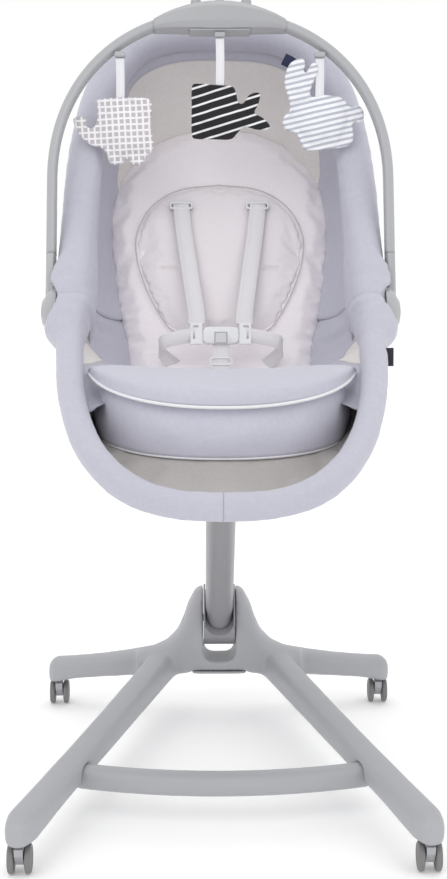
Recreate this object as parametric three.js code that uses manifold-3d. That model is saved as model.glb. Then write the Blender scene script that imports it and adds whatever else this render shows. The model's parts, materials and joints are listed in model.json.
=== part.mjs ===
// Bouncer seat on a castored stand: X to the baby's left, -Y to the front, +Z up, millimetres.
// The origin is on the floor, under the middle of the base.
import * as THREE from "three";
import { ParametricGeometry } from "three/addons/geometries/ParametricGeometry.js";
import { mergeVertices } from "three/addons/utils/BufferGeometryUtils.js";
import Module from "manifold-3d";

const wasm = await Module();
wasm.setup();

const { PI, abs, cos, max, min, sign, sin, sqrt } = Math;
const v3 = (x, y, z) => new THREE.Vector3(x, y, z);
const X = v3(1, 0, 0);
const Y = v3(0, 1, 0);
const Z = v3(0, 0, 1);

// ---------------------------------------------------------------- driving dimensions

const GAP = 0.4; // between pieces that touch
const RUNNING = 0.35; // radial clearance of pins, axles and stems

// Base and casters
const TRACK_FRONT = 540;
const TRACK_REAR = 550;
const WHEELBASE = 680;
const WHEEL_RADIUS = 20;
const WHEEL_WIDTH = 9;
const CASTER_WIDTH = 32;
const CASTER_TRAIL = 9;
const AXLE_RADIUS = 3;
const STEM_RADIUS = 4;
const STEM_LENGTH = 20;
const FOOT_UNDERSIDE = 2 * WHEEL_RADIUS + 1;
const FOOT_HEIGHT = 43;
const LEG_HALF_WIDTH = 23;
const FOOT_REACH = 16; // of a foot past its caster's stem
const HUB_HALF_DEPTH = 43;
const HUB_CLEFT = 54; // between the hub's two ears
const EAR_HEIGHT = 57; // of the ears above the tilt pin
const BAR_BOW = 34;
const BAR_HALF_DEPTH = 18;
const BAR_HALF_HEIGHT = 17;
const BAR_SOCKET = 14;
const BAR_PLACE = 0.29; // of the way from the front casters to the rear ones

// Column
const TILT_PIN = { y: 300, z: 165, radius: 6 };
const COLUMN_LEAN = 45; // degrees forward of upright
const COLUMN_LENGTH = 400; // between its two pins
const COLUMN_HALF_WIDTH = 23;
const COLUMN_HALF_DEPTH = 31;
const COLUMN_WALL = 4;
const COLUMN_TOE = 14; // of its rounded lower end above the tilt pin
const ROOT_RADIUS = 45;
const TOP_RADIUS = 33;
const HEAD_WIDTH = 74;
const HEAD_RADIUS = 51;

// Recline hub and the two halves of the rim
const HUB_BEHIND_TOP_PIN = 17.84;
const HUB_ABOVE_TOP_PIN = 257.16;
const FRONT_DROP = 29; // degrees below level
const BACK_RISE = 57; // degrees above level
const RIM_TUBE_RADIUS = 10;
const RIM_FRONT = { halfWidth: 218, length: 434, power: 2.7 };
const RIM_BACK = { halfWidth: 213, length: 501, power: 3.4 };
const RIM_ROLL = { front: 18, hub: 21, side: 28, head: 26 };
const RIM_START = 43; // from the hub axis to the padding's end
const LUG_RADIUS = 27;
const LUG_THICKNESS = 9;
const LUG_INNER_FACE = 192; // of the innermost of the stacked lugs
const HUB_PIN_RADIUS = 6;

// Seat
const PAN = { rear: 45, front: -257, rearHalf: 140, halfWidth: 168, shoulder: -80, rise: 0.16 };
const PAN_TOP_AT_REAR = -117; // below the hub axis
const PAN_THICKNESS = 11;
const SEAT_PAD_THICKNESS = 21;
const BAND_BOTTOM = -170;
const BAND_TOP_AT_SIDE = -18;
const CLOTH = 4; // thickness of the sheet stand-ins
const CRADLE_DEPTH = 26;
const CRADLE_THICKNESS = 9;
const CRADLE_DROP = 178;

// Backrest
const BOARD_DEPTH = 128; // of its face below the rim's plane
const BOARD_THICKNESS = 12;
const BACK_START = 54; // of its padding from the hub axis
const BACK_PAD = { halfWidth: 171, top: 389, thickness: 24 };
const REDUCER = { halfWidth: 131, top: 279, thickness: 11 };

// Harness
const WEBBING = 25;
const WEBBING_THICKNESS = 2;
const BUCKLE = { behindHub: 23, belowHub: 37, width: 54, height: 26, depth: 11 };
const TONGUE = { width: 18, height: 32, depth: 6 };

// Toy bar
const BAR_LEAN = 18; // degrees back of upright
const ARCH = { halfWidth: 250, springing: 200, rise: 258, power: 2.15 };
const ARCH_HALF_THICKNESS = 7.5;
const ARCH_HALF_DEPTH = 12;
const ARCH_JOINT = 87; // from the hub axis to the joint in the arch
const DISC_RADIUS = 38;
const DISC_INNER_FACE = 240;
const DISC_THICKNESS = 22;
const PANEL_HALF_LENGTH = 100;
const KEY_RADIUS = 8;
const KEY_PLACES = [-36, 0, 40];
const RIBBON_WIDTH = 12.7;
const CLIP_FORWARD = 7; // of the arch's middle

// ---------------------------------------------------------------- geometry helpers

const radians = THREE.MathUtils.degToRad;
const lerp = THREE.MathUtils.lerp;

function power(value, exponent) {
  return sign(value) * abs(value) ** exponent;
}

// Closed shell with shared corners and its faces turned outwards.
function closed(geometry) {
  const bare = geometry.clone();
  bare.deleteAttribute("normal");
  bare.deleteAttribute("uv");
  const merged = mergeVertices(bare, 1e-3);
  const corners = merged.index.array;
  const at = merged.attributes.position;
  const faces = [];
  let volume = 0;
  const [a, b, c] = [v3(), v3(), v3()];
  for (let i = 0; i < corners.length; i += 3) {
    const [p, q, r] = [corners[i], corners[i + 1], corners[i + 2]];
    if (p === q || q === r || r === p) continue;
    faces.push([p, q, r]);
    a.fromBufferAttribute(at, p);
    b.fromBufferAttribute(at, q);
    c.fromBufferAttribute(at, r);
    volume += a.dot(b.cross(c));
  }
  merged.setIndex(faces.flatMap((face) => (volume < 0 ? face.reverse() : face)));
  return merged;
}

function solid(geometry) {
  const shell = closed(geometry);
  const vertProperties = shell.attributes.position.array;
  const triVerts = new Uint32Array(shell.index.array);
  return new wasm.Manifold(new wasm.Mesh({ numProp: 3, vertProperties, triVerts }));
}

function shape(manifold) {
  const mesh = manifold.getMesh();
  const geometry = new THREE.BufferGeometry();
  geometry.setAttribute("position", new THREE.BufferAttribute(mesh.vertProperties, 3));
  geometry.setIndex(new THREE.BufferAttribute(mesh.triVerts, 1));
  return geometry;
}

const join = (first, ...rest) => rest.reduce((sum, next) => sum.add(next), first);
const cut = (first, ...rest) => rest.reduce((left, next) => left.subtract(next), first);

// Skin over a row of sections, each a ring of the same number of points.
function loft(sections) {
  const middle = (ring) => ring.reduce((sum, p) => sum.add(p), v3(0, 0, 0)).divideScalar(ring.length);
  const closeTo = (ring) => ring.map(() => middle(ring));
  const rows = [closeTo(sections[0]), ...sections, closeTo(sections.at(-1))];
  const sides = sections[0].length;
  const place = (u, v, target) => {
    const row = rows[Math.round(v * (rows.length - 1))];
    target.copy(row[Math.round(u * sides) % sides]);
  };
  return closed(new ParametricGeometry(place, sides, rows.length - 1));
}

// Ring of points on a rounded rectangle, as [across, up] pairs.
function roundedSection(halfAcross, halfUp, exponent = 2, sides = 12) {
  const angles = Array.from({ length: sides }, (_, i) => ((i + 0.5) * 2 * PI) / sides);
  return angles.map((a) => [
    halfAcross * power(cos(a), 2 / exponent),
    halfUp * power(sin(a), 2 / exponent),
  ]);
}

// Carries a section along a flat path; up is the normal of the path's plane.
function sweep(path, up, section, steps, from = 0, to = 1) {
  const stations = Array.from({ length: steps + 1 }, (_, i) => lerp(from, to, i / steps));
  return loft(
    stations.map((t) => {
      const centre = path.getPointAt(t);
      const across = v3().crossVectors(path.getTangentAt(t), up).normalize();
      const ring = typeof section === "function" ? section(t) : section;
      return ring.map(([a, u]) => centre.clone().addScaledVector(across, a).addScaledVector(up, u));
    }),
  );
}

// Strap along points, its width held along one direction.
function strap(points, across, width = WEBBING, thickness = WEBBING_THICKNESS) {
  const path = new THREE.CatmullRomCurve3(points);
  const steps = 4 * (points.length - 1);
  const half = width / 2;
  return loft(
    Array.from({ length: steps + 1 }, (_, i) => {
      const centre = path.getPointAt(i / steps);
      const face = v3().crossVectors(path.getTangentAt(i / steps), across).normalize();
      const edges = [[-half, -1], [half, -1], [half, 1], [-half, 1]];
      return edges.map(([a, s]) =>
        centre.clone().addScaledVector(across, a).addScaledVector(face, (s * thickness) / 2),
      );
    }),
  );
}

// Sheet between an upper and a lower curve, thickened towards the given side.
function wall(upper, lower, outward, steps, thickness = CLOTH) {
  return loft(
    Array.from({ length: steps + 1 }, (_, i) => {
      const high = upper(i / steps);
      const low = lower(i / steps);
      const out = outward(i / steps).multiplyScalar(thickness);
      return [high, low, low.clone().add(out), high.clone().add(out)];
    }),
  );
}

// Cylinder along X between two faces.
function drum(radius, low, high, sides = 20) {
  const geometry = new THREE.CylinderGeometry(radius, radius, high - low, sides);
  return geometry.rotateZ(PI / 2).translate((low + high) / 2, 0, 0);
}

function post(radius, low, high, sides = 16) {
  const geometry = new THREE.CylinderGeometry(radius, radius, high - low, sides);
  return geometry.rotateX(PI / 2).translate(0, 0, (low + high) / 2);
}

// Solid turned about the X axis from [x, radius] pairs that start and end on the axis.
function turned(profile, sides = 20) {
  const points = profile.map(([x, radius]) => new THREE.Vector2(radius, x));
  return new THREE.LatheGeometry(points, sides).rotateZ(-PI / 2);
}

function block(low, high) {
  const size = high.map((value, axis) => value - low[axis]);
  const centre = high.map((value, axis) => (value + low[axis]) / 2);
  return new THREE.BoxGeometry(...size).translate(...centre);
}

// Plate from an outline of [y, z] pairs, extruded along X between two faces.
function sidePlate(outline, low, high) {
  const face = new THREE.Shape(outline.map(([y, z]) => new THREE.Vector2(y, z)));
  const geometry = new THREE.ExtrudeGeometry(face, { depth: high - low, bevelEnabled: false });
  // The shape's x, y and depth become Y, Z and X.
  const turn = new THREE.Matrix4().makeBasis(Y, Z, X);
  return geometry.applyMatrix4(turn).translate(low, 0, 0);
}

// Plate from an outline in XY between two heights, with an optional rounded edge.
function plate(outline, low, high, edge = 0) {
  const options = { depth: high - low - 2 * edge, bevelEnabled: edge > 0, bevelSegments: 2 };
  Object.assign(options, { bevelSize: edge, bevelThickness: edge, bevelOffset: -edge });
  return new THREE.ExtrudeGeometry(new THREE.Shape(outline), options).translate(0, 0, low + edge);
}

function mirroredX(points) {
  return points.map((p) => (p.isVector2 ? new THREE.Vector2(-p.x, p.y) : v3(-p.x, p.y, p.z)));
}

// ---------------------------------------------------------------- materials

function finish(color, roughness, metalness = 0) {
  return new THREE.MeshStandardMaterial({ color, roughness, metalness });
}

const materials = {
  basePlastic: finish(0xa3a5a9, 0.5),
  columnPlastic: finish(0x96979b, 0.45),
  frameSteel: finish(0x8f9296, 0.35, 0.8),
  pinSteel: finish(0xb8babc, 0.3, 0.9),
  wheelRubber: finish(0x6a6663, 0.6),
  casterPlastic: finish(0xa9a9a8, 0.5),
  archPlastic: finish(0x9fa19f, 0.35),
  panelPlastic: finish(0x9a9d9d, 0.4),
  rimFabric: finish(0xc0c1cb, 0.9),
  meshFabric: finish(0xc9c3bd, 0.95),
  padFabric: finish(0xd6d1d2, 0.95),
  boardPlastic: finish(0x8d8f93, 0.6),
  webbing: finish(0xc6c6c8, 0.85),
  bucklePlastic: finish(0xcfcfd1, 0.45),
  ribbonWhite: finish(0xe9e9ec, 0.9),
  toyBeige: finish(0xd5cfd0, 0.95),
  toyBlack: finish(0x1c1b1f, 0.95),
  toyGrey: finish(0xc2c5ce, 0.95),
};

const model = new THREE.Group();

function add(parent, name, geometry, material) {
  const mesh = new THREE.Mesh(geometry, material);
  mesh.name = name;
  parent.add(mesh);
  return mesh;
}

function groupAt(parent, x, y, z, turnX = 0) {
  const group = new THREE.Group();
  group.position.set(x, y, z);
  group.rotation.x = turnX;
  parent.add(group);
  return group;
}

const SIDES = [["left", -1], ["right", 1]];

// ---------------------------------------------------------------- base

const casterPlaces = [
  ["front_left", -TRACK_FRONT / 2, -WHEELBASE / 2],
  ["front_right", TRACK_FRONT / 2, -WHEELBASE / 2],
  ["rear_left", -TRACK_REAR / 2, WHEELBASE / 2],
  ["rear_right", TRACK_REAR / 2, WHEELBASE / 2],
];

// One moulded leg from the hub to past its caster, with a rounded nose.
function baseLeg(start, foot, rootHeight, underRise) {
  const reach = foot.clone().sub(start);
  const across = v3().crossVectors(reach, Z).normalize();
  const tip = foot.clone().addScaledVector(reach.clone().normalize(), FOOT_REACH);
  const places = [0, 0.2, 0.4, 0.6, 0.8, 0.955, 0.985, 1];
  return solid(
    loft(
      places.map((t) => {
        const nose = max(0, (t - 0.95) / 0.05);
        const shrink = sqrt(1 - 0.75 * nose * nose);
        const low = FOOT_UNDERSIDE + underRise * (1 - t) ** 0.6 * (t < 0.9 ? 1 : 0);
        const high = FOOT_UNDERSIDE + FOOT_HEIGHT * (1 - 0.25 * nose * nose) + rootHeight * (1 - t) ** 1.7;
        const centre = start.clone().lerp(tip, t).setZ((low + high) / 2);
        const ring = roundedSection(LEG_HALF_WIDTH * shrink, (high - low) / 2, 3.6, 10);
        return ring.map(([a, u]) => centre.clone().addScaledVector(across, a).addScaledVector(Z, u));
      }),
    ),
  );
}

// Bell-shaped hub that carries the column between two ears.
function baseHub() {
  const half = [
    [0, 0], [26, 0], [40, -7], [52, -30], [60, -55], [70, -78], [88, -97], [112, -108], [140, -114],
  ];
  const stations = [...half.slice(1).reverse().map(([x, dz]) => [-x, dz]), ...half];
  const top = TILT_PIN.z + EAR_HEIGHT;
  return solid(
    loft(
      stations.map(([x, dz]) => {
        const low = 72 - 0.0007 * x * x;
        const high = top + dz;
        const depth = HUB_HALF_DEPTH - abs(x) * 0.12;
        const ring = roundedSection(depth, (high - low) / 2, 3, 12);
        return ring.map(([a, u]) => v3(x, TILT_PIN.y + a, (low + high) / 2 + u));
      }),
    ),
  );
}

// Open cleft with a rounded floor in which the column's root turns.
function hubCleft() {
  const floor = TILT_PIN.z - ROOT_RADIUS - 22;
  const half = HUB_CLEFT / 2;
  const face = new THREE.Shape();
  face.moveTo(-half, 2 * TILT_PIN.z);
  face.lineTo(-half, floor + 22);
  face.quadraticCurveTo(-half + 2, floor, -half + 14, floor);
  face.lineTo(half - 14, floor);
  face.quadraticCurveTo(half - 2, floor, half, floor + 22);
  face.lineTo(half, 2 * TILT_PIN.z);
  const through = 6 * HUB_HALF_DEPTH;
  const geometry = new THREE.ExtrudeGeometry(face, { depth: through, bevelEnabled: false, curveSegments: 4 });
  return solid(geometry.rotateX(PI / 2).translate(0, TILT_PIN.y + through / 2, 0));
}

const barY = lerp(-WHEELBASE / 2, WHEELBASE / 2, BAR_PLACE);
const legRoot = v3(88, TILT_PIN.y + 12, 0);
const barReach = lerp(TRACK_FRONT / 2, legRoot.x, (barY + WHEELBASE / 2) / (legRoot.y + WHEELBASE / 2));

function crossbar(extra = 0) {
  const end = barReach - LEG_HALF_WIDTH + BAR_SOCKET + extra;
  const path = new THREE.QuadraticBezierCurve3(
    v3(-end, barY, 0),
    v3(0, barY - 2 * BAR_BOW, 0),
    v3(end, barY, 0),
  );
  const centreHeight = FOOT_UNDERSIDE + 2 + BAR_HALF_HEIGHT;
  const section = roundedSection(BAR_HALF_DEPTH + extra, BAR_HALF_HEIGHT + extra, 3, 12);
  return sweep(path, Z, section, 12).translate(0, 0, centreHeight);
}

function baseShell() {
  const pieces = [baseHub()];
  for (const [, side] of SIDES) {
    const frontFoot = v3((side * TRACK_FRONT) / 2, -WHEELBASE / 2, 0);
    const rearFoot = v3((side * TRACK_REAR) / 2, WHEELBASE / 2, 0);
    const start = v3(side * legRoot.x, legRoot.y, 0);
    pieces.push(baseLeg(start, frontFoot, 30, 20));
    pieces.push(baseLeg(v3(side * 60, TILT_PIN.y + 18, 0), rearFoot, 38, 22));
  }
  const sockets = casterPlaces.map(([, x, y]) =>
    solid(post(STEM_RADIUS + RUNNING, 0, FOOT_UNDERSIDE + STEM_LENGTH + 1).translate(x, y, 0)),
  );
  const bore = solid(drum(TILT_PIN.radius + RUNNING, -70, 70).translate(0, TILT_PIN.y, TILT_PIN.z));
  const underside = solid(block([-46, TILT_PIN.y - 26, 40], [46, TILT_PIN.y + 26, 78]));
  return shape(cut(join(...pieces), hubCleft(), bore, underside, solid(crossbar(GAP)), ...sockets));
}

function hubUndersideCover() {
  const outline = roundedSection(46 - GAP, 26 - GAP, 8, 12).map(([x, y]) => new THREE.Vector2(x, y));
  return plate(outline, 73.5, 77.5).translate(0, TILT_PIN.y, 0);
}

function tiltPin() {
  return drum(TILT_PIN.radius, -56, 56).translate(0, TILT_PIN.y, TILT_PIN.z);
}

// Block between the wheels, with its swivel stem and bore for the axle.
function casterFork() {
  const half = CASTER_WIDTH / 2 - WHEEL_WIDTH - 1.2;
  const hood = [
    [-11, FOOT_UNDERSIDE - 1], [11, FOOT_UNDERSIDE - 1], [CASTER_TRAIL + 9, 30],
    [CASTER_TRAIL + 7, 15], [CASTER_TRAIL - 7, 14], [-9, 30],
  ];
  const body = solid(sidePlate(hood, -half, half));
  const collar = solid(post(half + 1, FOOT_UNDERSIDE - 4, FOOT_UNDERSIDE - GAP, 12));
  const stem = solid(post(STEM_RADIUS, FOOT_UNDERSIDE - 4, FOOT_UNDERSIDE + STEM_LENGTH, 12));
  const bore = solid(drum(AXLE_RADIUS + RUNNING, -half - 1, half + 1, 12));
  return shape(cut(join(body, collar, stem), bore.translate([0, CASTER_TRAIL, WHEEL_RADIUS])));
}

// Twin wheels on one axle.
function casterWheels() {
  const outer = CASTER_WIDTH / 2;
  const inner = outer - WHEEL_WIDTH;
  const flats = 18;
  const rim = WHEEL_RADIUS / cos(PI / flats);
  const half = [
    [inner, AXLE_RADIUS], [inner, rim - 1], [inner + 1, rim], [outer - 2.5, rim], [outer, rim - 3], [outer, 0],
  ];
  const profile = [...half.toReversed().map(([x, r]) => [-x, r]), ...half];
  return closed(turned(profile, flats).rotateX(PI / flats));
}

function buildBase() {
  add(model, "base_shell", baseShell(), materials.basePlastic);
  add(model, "front_crossbar", crossbar(), materials.basePlastic);
  add(model, "hub_underside_cover", hubUndersideCover(), materials.basePlastic);
  add(model, "column_tilt_pin", tiltPin(), materials.pinSteel);
  for (const [name, x, y] of casterPlaces) {
    const caster = groupAt(model, x, y, 0);
    add(caster, `caster_fork_${name}`, casterFork(), materials.casterPlastic);
    const wheels = add(caster, `caster_wheels_${name}`, casterWheels(), materials.wheelRubber);
    wheels.position.set(0, CASTER_TRAIL, WHEEL_RADIUS);
  }
}

// ---------------------------------------------------------------- column

// Outline with a round lower end, extruded through the column's depth.
function columnFront(extra) {
  const half = COLUMN_HALF_WIDTH + extra;
  const face = new THREE.Shape();
  face.moveTo(half, 2 * COLUMN_LENGTH);
  face.lineTo(half, COLUMN_TOE + COLUMN_HALF_WIDTH);
  face.absarc(0, COLUMN_TOE + COLUMN_HALF_WIDTH, half, 0, -PI, true);
  face.lineTo(-half, 2 * COLUMN_LENGTH);
  const depth = 4 * COLUMN_HALF_DEPTH;
  const geometry = new THREE.ExtrudeGeometry(face, { depth, bevelEnabled: false, curveSegments: 10 });
  return solid(geometry.rotateX(PI / 2).translate(0, depth / 2, 0));
}

function oval(halfWidth, halfDepth, low, high) {
  const ring = roundedSection(halfWidth, halfDepth, 2.6, 20);
  return solid(loft([low, high].map((z) => ring.map(([a, u]) => v3(a, u, z)))));
}

function columnTube() {
  const outer = oval(COLUMN_HALF_WIDTH, COLUMN_HALF_DEPTH, 0, COLUMN_LENGTH - TOP_RADIUS - 2);
  const inner = oval(
    COLUMN_HALF_WIDTH - COLUMN_WALL,
    COLUMN_HALF_DEPTH - COLUMN_WALL,
    -1,
    COLUMN_LENGTH,
  );
  return shape(outer.intersect(columnFront(0)).subtract(inner));
}

// Drum on the tilt pin with a socket for the column's rounded end.
function columnRoot() {
  const half = HUB_CLEFT / 2 - 0.8;
  const body = join(
    solid(drum(ROOT_RADIUS, -half, half, 32)),
    solid(block([-half, -COLUMN_HALF_DEPTH - 5, 0], [half, COLUMN_HALF_DEPTH + 5, 50])),
  );
  return shape(cut(body, columnFront(GAP), solid(drum(TILT_PIN.radius + RUNNING, -half - 1, half + 1))));
}

// Drum at the upper pin, plugged into the column.
function columnTop() {
  const plug = oval(
    COLUMN_HALF_WIDTH - COLUMN_WALL - GAP,
    COLUMN_HALF_DEPTH - COLUMN_WALL - GAP,
    COLUMN_LENGTH - 70,
    COLUMN_LENGTH - 10,
  );
  const head = solid(drum(TOP_RADIUS, -COLUMN_HALF_WIDTH, COLUMN_HALF_WIDTH).translate(0, 0, COLUMN_LENGTH));
  const bore = solid(
    drum(TILT_PIN.radius + RUNNING, -HEAD_WIDTH, HEAD_WIDTH).translate(0, 0, COLUMN_LENGTH),
  );
  return shape(join(plug, head).subtract(bore));
}

const lean = radians(COLUMN_LEAN);
const TOP_PIN = {
  y: TILT_PIN.y - COLUMN_LENGTH * sin(lean),
  z: TILT_PIN.z + COLUMN_LENGTH * cos(lean),
};
const HUB = { y: TOP_PIN.y + HUB_BEHIND_TOP_PIN, z: TOP_PIN.z + HUB_ABOVE_TOP_PIN };

function buildColumn() {
  const column = groupAt(model, 0, TILT_PIN.y, TILT_PIN.z, lean);
  add(column, "column_tube", columnTube(), materials.columnPlastic);
  add(column, "column_root", columnRoot(), materials.columnPlastic);
  add(column, "column_top", columnTop(), materials.columnPlastic);
}

// ---------------------------------------------------------------- seat head

const cradleFloor = HUB.z - CRADLE_DROP - CRADLE_THICKNESS / 2 - GAP;

// Housing over the column's upper end, open towards the column.
function seatHead() {
  const top = cradleFloor - TOP_PIN.z;
  const bottomArc = Array.from({ length: 9 }, (_, i) => radians(180 + 22.5 * i));
  const outline = [
    ...bottomArc.map((a) => [HEAD_RADIUS * cos(a), HEAD_RADIUS * sin(a)]),
    [HEAD_RADIUS + 4, top],
    [-HEAD_RADIUS + 6, top],
  ];
  const half = HEAD_WIDTH / 2;
  const slotHalf = COLUMN_HALF_WIDTH + 1;
  const slot = [[-14, -90], [120, -90], [120, 12], [42, 34], [0, TOP_RADIUS + 4], [-14, 0]];
  const button = block([-11, HEAD_RADIUS - 12, 52], [11, HEAD_RADIUS + 20, 70]);
  return shape(
    cut(
      solid(sidePlate(outline, -half, half)),
      solid(drum(TOP_RADIUS + 4, -slotHalf, slotHalf)),
      solid(sidePlate(slot, -slotHalf, slotHalf)),
      solid(drum(TILT_PIN.radius + RUNNING, -half - 1, half + 1)),
      solid(button),
    ),
  );
}

function heightRelease() {
  const low = [-11 + GAP, HEAD_RADIUS - 5, 52 + GAP];
  return block(low, [11 - GAP, HEAD_RADIUS + 9, 70 - GAP]);
}

function buildHead() {
  const head = groupAt(model, 0, TOP_PIN.y, TOP_PIN.z);
  add(head, "seat_head", seatHead(), materials.columnPlastic);
  add(head, "seat_head_pin", drum(TILT_PIN.radius, -HEAD_WIDTH / 2 + 1, HEAD_WIDTH / 2 - 1), materials.pinSteel);
  add(head, "height_release_button", heightRelease(), materials.panelPlastic);
}

// ---------------------------------------------------------------- seat

const pivot = groupAt(model, 0, HUB.y, HUB.z);

// U-shaped steel strap under the seat, with a lug on each recline pin.
function seatCradle() {
  const x = LUG_INNER_FACE + LUG_THICKNESS / 2;
  const bend = 55;
  const path = new THREE.CurvePath();
  path.add(new THREE.LineCurve3(v3(-x, 0, 0), v3(-x, 0, bend - CRADLE_DROP)));
  path.add(
    new THREE.QuadraticBezierCurve3(
      v3(-x, 0, bend - CRADLE_DROP),
      v3(-x, 0, -CRADLE_DROP),
      v3(bend - x, 0, -CRADLE_DROP),
    ),
  );
  path.add(new THREE.LineCurve3(v3(bend - x, 0, -CRADLE_DROP), v3(x - bend, 0, -CRADLE_DROP)));
  path.add(
    new THREE.QuadraticBezierCurve3(
      v3(x - bend, 0, -CRADLE_DROP),
      v3(x, 0, -CRADLE_DROP),
      v3(x, 0, bend - CRADLE_DROP),
    ),
  );
  path.add(new THREE.LineCurve3(v3(x, 0, bend - CRADLE_DROP), v3(x, 0, 0)));
  const section = roundedSection(CRADLE_THICKNESS / 2, CRADLE_DEPTH / 2, 30, 4);
  const pieces = [solid(sweep(path, Y, section, 30))];
  const bores = [];
  for (const [, side] of SIDES) {
    const faces = [side * LUG_INNER_FACE, side * (LUG_INNER_FACE + LUG_THICKNESS)];
    pieces.push(solid(drum(LUG_RADIUS, min(...faces), max(...faces))));
    bores.push(solid(drum(HUB_PIN_RADIUS + RUNNING, min(...faces) - 3, max(...faces) + 3)));
  }
  return shape(cut(join(...pieces), ...bores));
}

// Half outline of the pan from its rear corner round to the middle of its front.
function panEdge(t, grow = 0) {
  const straight = 0.3;
  if (t < straight) {
    const s = t / straight;
    const x = lerp(PAN.rearHalf, PAN.halfWidth, sin((s * PI) / 2));
    return v3(x + grow, lerp(PAN.rear, PAN.shoulder, s), 0);
  }
  const a = (((t - straight) / (1 - straight)) * PI) / 2;
  const reach = PAN.shoulder - PAN.front + grow;
  const x = (PAN.halfWidth + grow) * power(cos(a), 0.9);
  return v3(x, PAN.shoulder - reach * power(sin(a), 0.9), 0);
}

// Whole outline, from the right rear corner round the front to the left one.
function panRound(t, grow = 0) {
  const point = panEdge(min(t, 1 - t) * 2, grow);
  return t > 0.5 ? point.setX(-point.x) : point;
}

function panOutline(grow, steps = 26) {
  return Array.from({ length: steps + 1 }, (_, i) => {
    const point = panRound(i / steps, grow);
    return new THREE.Vector2(point.x, point.y);
  });
}

const panSlope = Math.atan(PAN.rise);

// Lays a flat shape on the pan's sloping top; the shape's Z is height above it.
function onPan(geometry) {
  const shear = new THREE.Matrix4().set(
    1, 0, 0, 0,
    0, 1, 0, 0,
    0, -PAN.rise, 1, PAN_TOP_AT_REAR + PAN.rise * PAN.rear,
    0, 0, 0, 1,
  );
  return geometry.applyMatrix4(shear);
}

function seatPan() {
  const tray = solid(onPan(plate(panOutline(0), -PAN_THICKNESS, 0)));
  const seatOn = -CRADLE_DROP + CRADLE_THICKNESS / 2 + GAP;
  const boss = solid(block([-62, -30, seatOn], [62, 22, PAN_TOP_AT_REAR - 2]));
  return shape(tray.add(boss));
}

function seatPad() {
  return onPan(plate(panOutline(-1), GAP, SEAT_PAD_THICKNESS, 6));
}

function panHeight(y) {
  return PAN_TOP_AT_REAR + PAN.rise * (PAN.rear - y);
}

// Fabric band round the front and sides of the pan.
function frontBand() {
  const away = (t) => {
    const step = panRound(min(t + 0.01, 1), 2).sub(panRound(max(t - 0.01, 0), 2));
    return v3(-step.y, step.x, 0).normalize();
  };
  const sideways = (t) => max(0, abs(t - 0.5) * 2 - 0.62) / 0.38;
  const upper = (t) => {
    const s = sideways(t);
    const point = panRound(t, lerp(2, 9, s));
    return point.setZ(lerp(panHeight(point.y) - 4, BAND_TOP_AT_SIDE, s * s * (3 - 2 * s)));
  };
  const lower = (t) => panRound(t, 2).setZ(BAND_BOTTOM + 18 * (abs(t - 0.5) * 2) ** 2);
  return wall(upper, lower, away, 28);
}

// Core on the recline pin: shaft through the stacked lugs, and the seat of the toy bar's disc.
function hubCore(side) {
  const flange = DISC_INNER_FACE - GAP;
  const profile = [
    [LUG_INNER_FACE - 4, 0], [LUG_INNER_FACE - 4, 10], [LUG_INNER_FACE - GAP, 10],
    [LUG_INNER_FACE - GAP, HUB_PIN_RADIUS], [flange - 13, HUB_PIN_RADIUS], [flange - 13, 29],
    [flange, 29], [flange, 9], [flange + 8, 9], [flange + 8, 0],
  ];
  const geometry = closed(turned(profile));
  return side < 0 ? geometry.rotateZ(PI) : geometry;
}

function reclineButton(side) {
  const inner = DISC_INNER_FACE + 13;
  const outer = DISC_INNER_FACE + DISC_THICKNESS + 1.5;
  const profile = [[inner, 0], [inner, 13.6], [outer - 2, 13.6], [outer - 0.6, 12], [outer, 8], [outer, 0]];
  const geometry = closed(turned(profile));
  return side < 0 ? geometry.rotateZ(PI) : geometry;
}

function buildSeat() {
  add(pivot, "seat_cradle", seatCradle(), materials.frameSteel);
  add(pivot, "seat_pan", seatPan(), materials.boardPlastic);
  add(pivot, "seat_pad", seatPad(), materials.padFabric);
  add(pivot, "front_band", frontBand(), materials.rimFabric);
  for (const [name, side] of SIDES) {
    add(pivot, `recline_hub_${name}`, hubCore(side), materials.panelPlastic);
    add(pivot, `recline_button_${name}`, reclineButton(side), materials.panelPlastic);
  }
}

// ---------------------------------------------------------------- rim halves

// Tube path of one half of the rim, lying flat, from the right end to the left one.
function rimPath(half, direction) {
  const points = Array.from({ length: 41 }, (_, i) => {
    const a = (i / 40) * PI;
    const x = half.halfWidth * power(cos(a), 2 / half.power);
    return v3(x, direction * half.length * power(sin(a), 2 / half.power), 0);
  });
  return new THREE.CatmullRomCurve3(points);
}

const RIM_STEPS = 24;
const frontPath = rimPath(RIM_FRONT, -1);
const backPath = rimPath(RIM_BACK, 1);

// Share of the path's length at which it is the given distance from the hub axis.
function shareAt(path, distance) {
  let share = 0;
  while (abs(path.getPointAt(share).y) < distance) share += 0.001;
  return share;
}

// Rim tube with a lug on the recline pin at each end.
function rimTube(path, direction, lugFace) {
  const from = shareAt(path, LUG_RADIUS - 8);
  const section = roundedSection(RIM_TUBE_RADIUS, RIM_TUBE_RADIUS, 2, 6);
  const pieces = [solid(sweep(path, Z, section, RIM_STEPS, from, 1 - from))];
  const cuts = [];
  const bores = [];
  for (const [, side] of SIDES) {
    const faces = [side * lugFace, side * (lugFace + LUG_THICKNESS)];
    const [low, high] = [min(...faces), max(...faces)];
    pieces.push(solid(drum(LUG_RADIUS, low, high)));
    bores.push(solid(drum(HUB_PIN_RADIUS + RUNNING, low - 20, high + 20)));
    // Nothing of the tube stands beside its lug.
    const clear = LUG_RADIUS + 1.5;
    cuts.push(solid(drum(clear, low - 20, low)), solid(drum(clear, high, high + 20)));
  }
  return cut(join(...pieces), ...cuts, ...bores);
}

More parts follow.
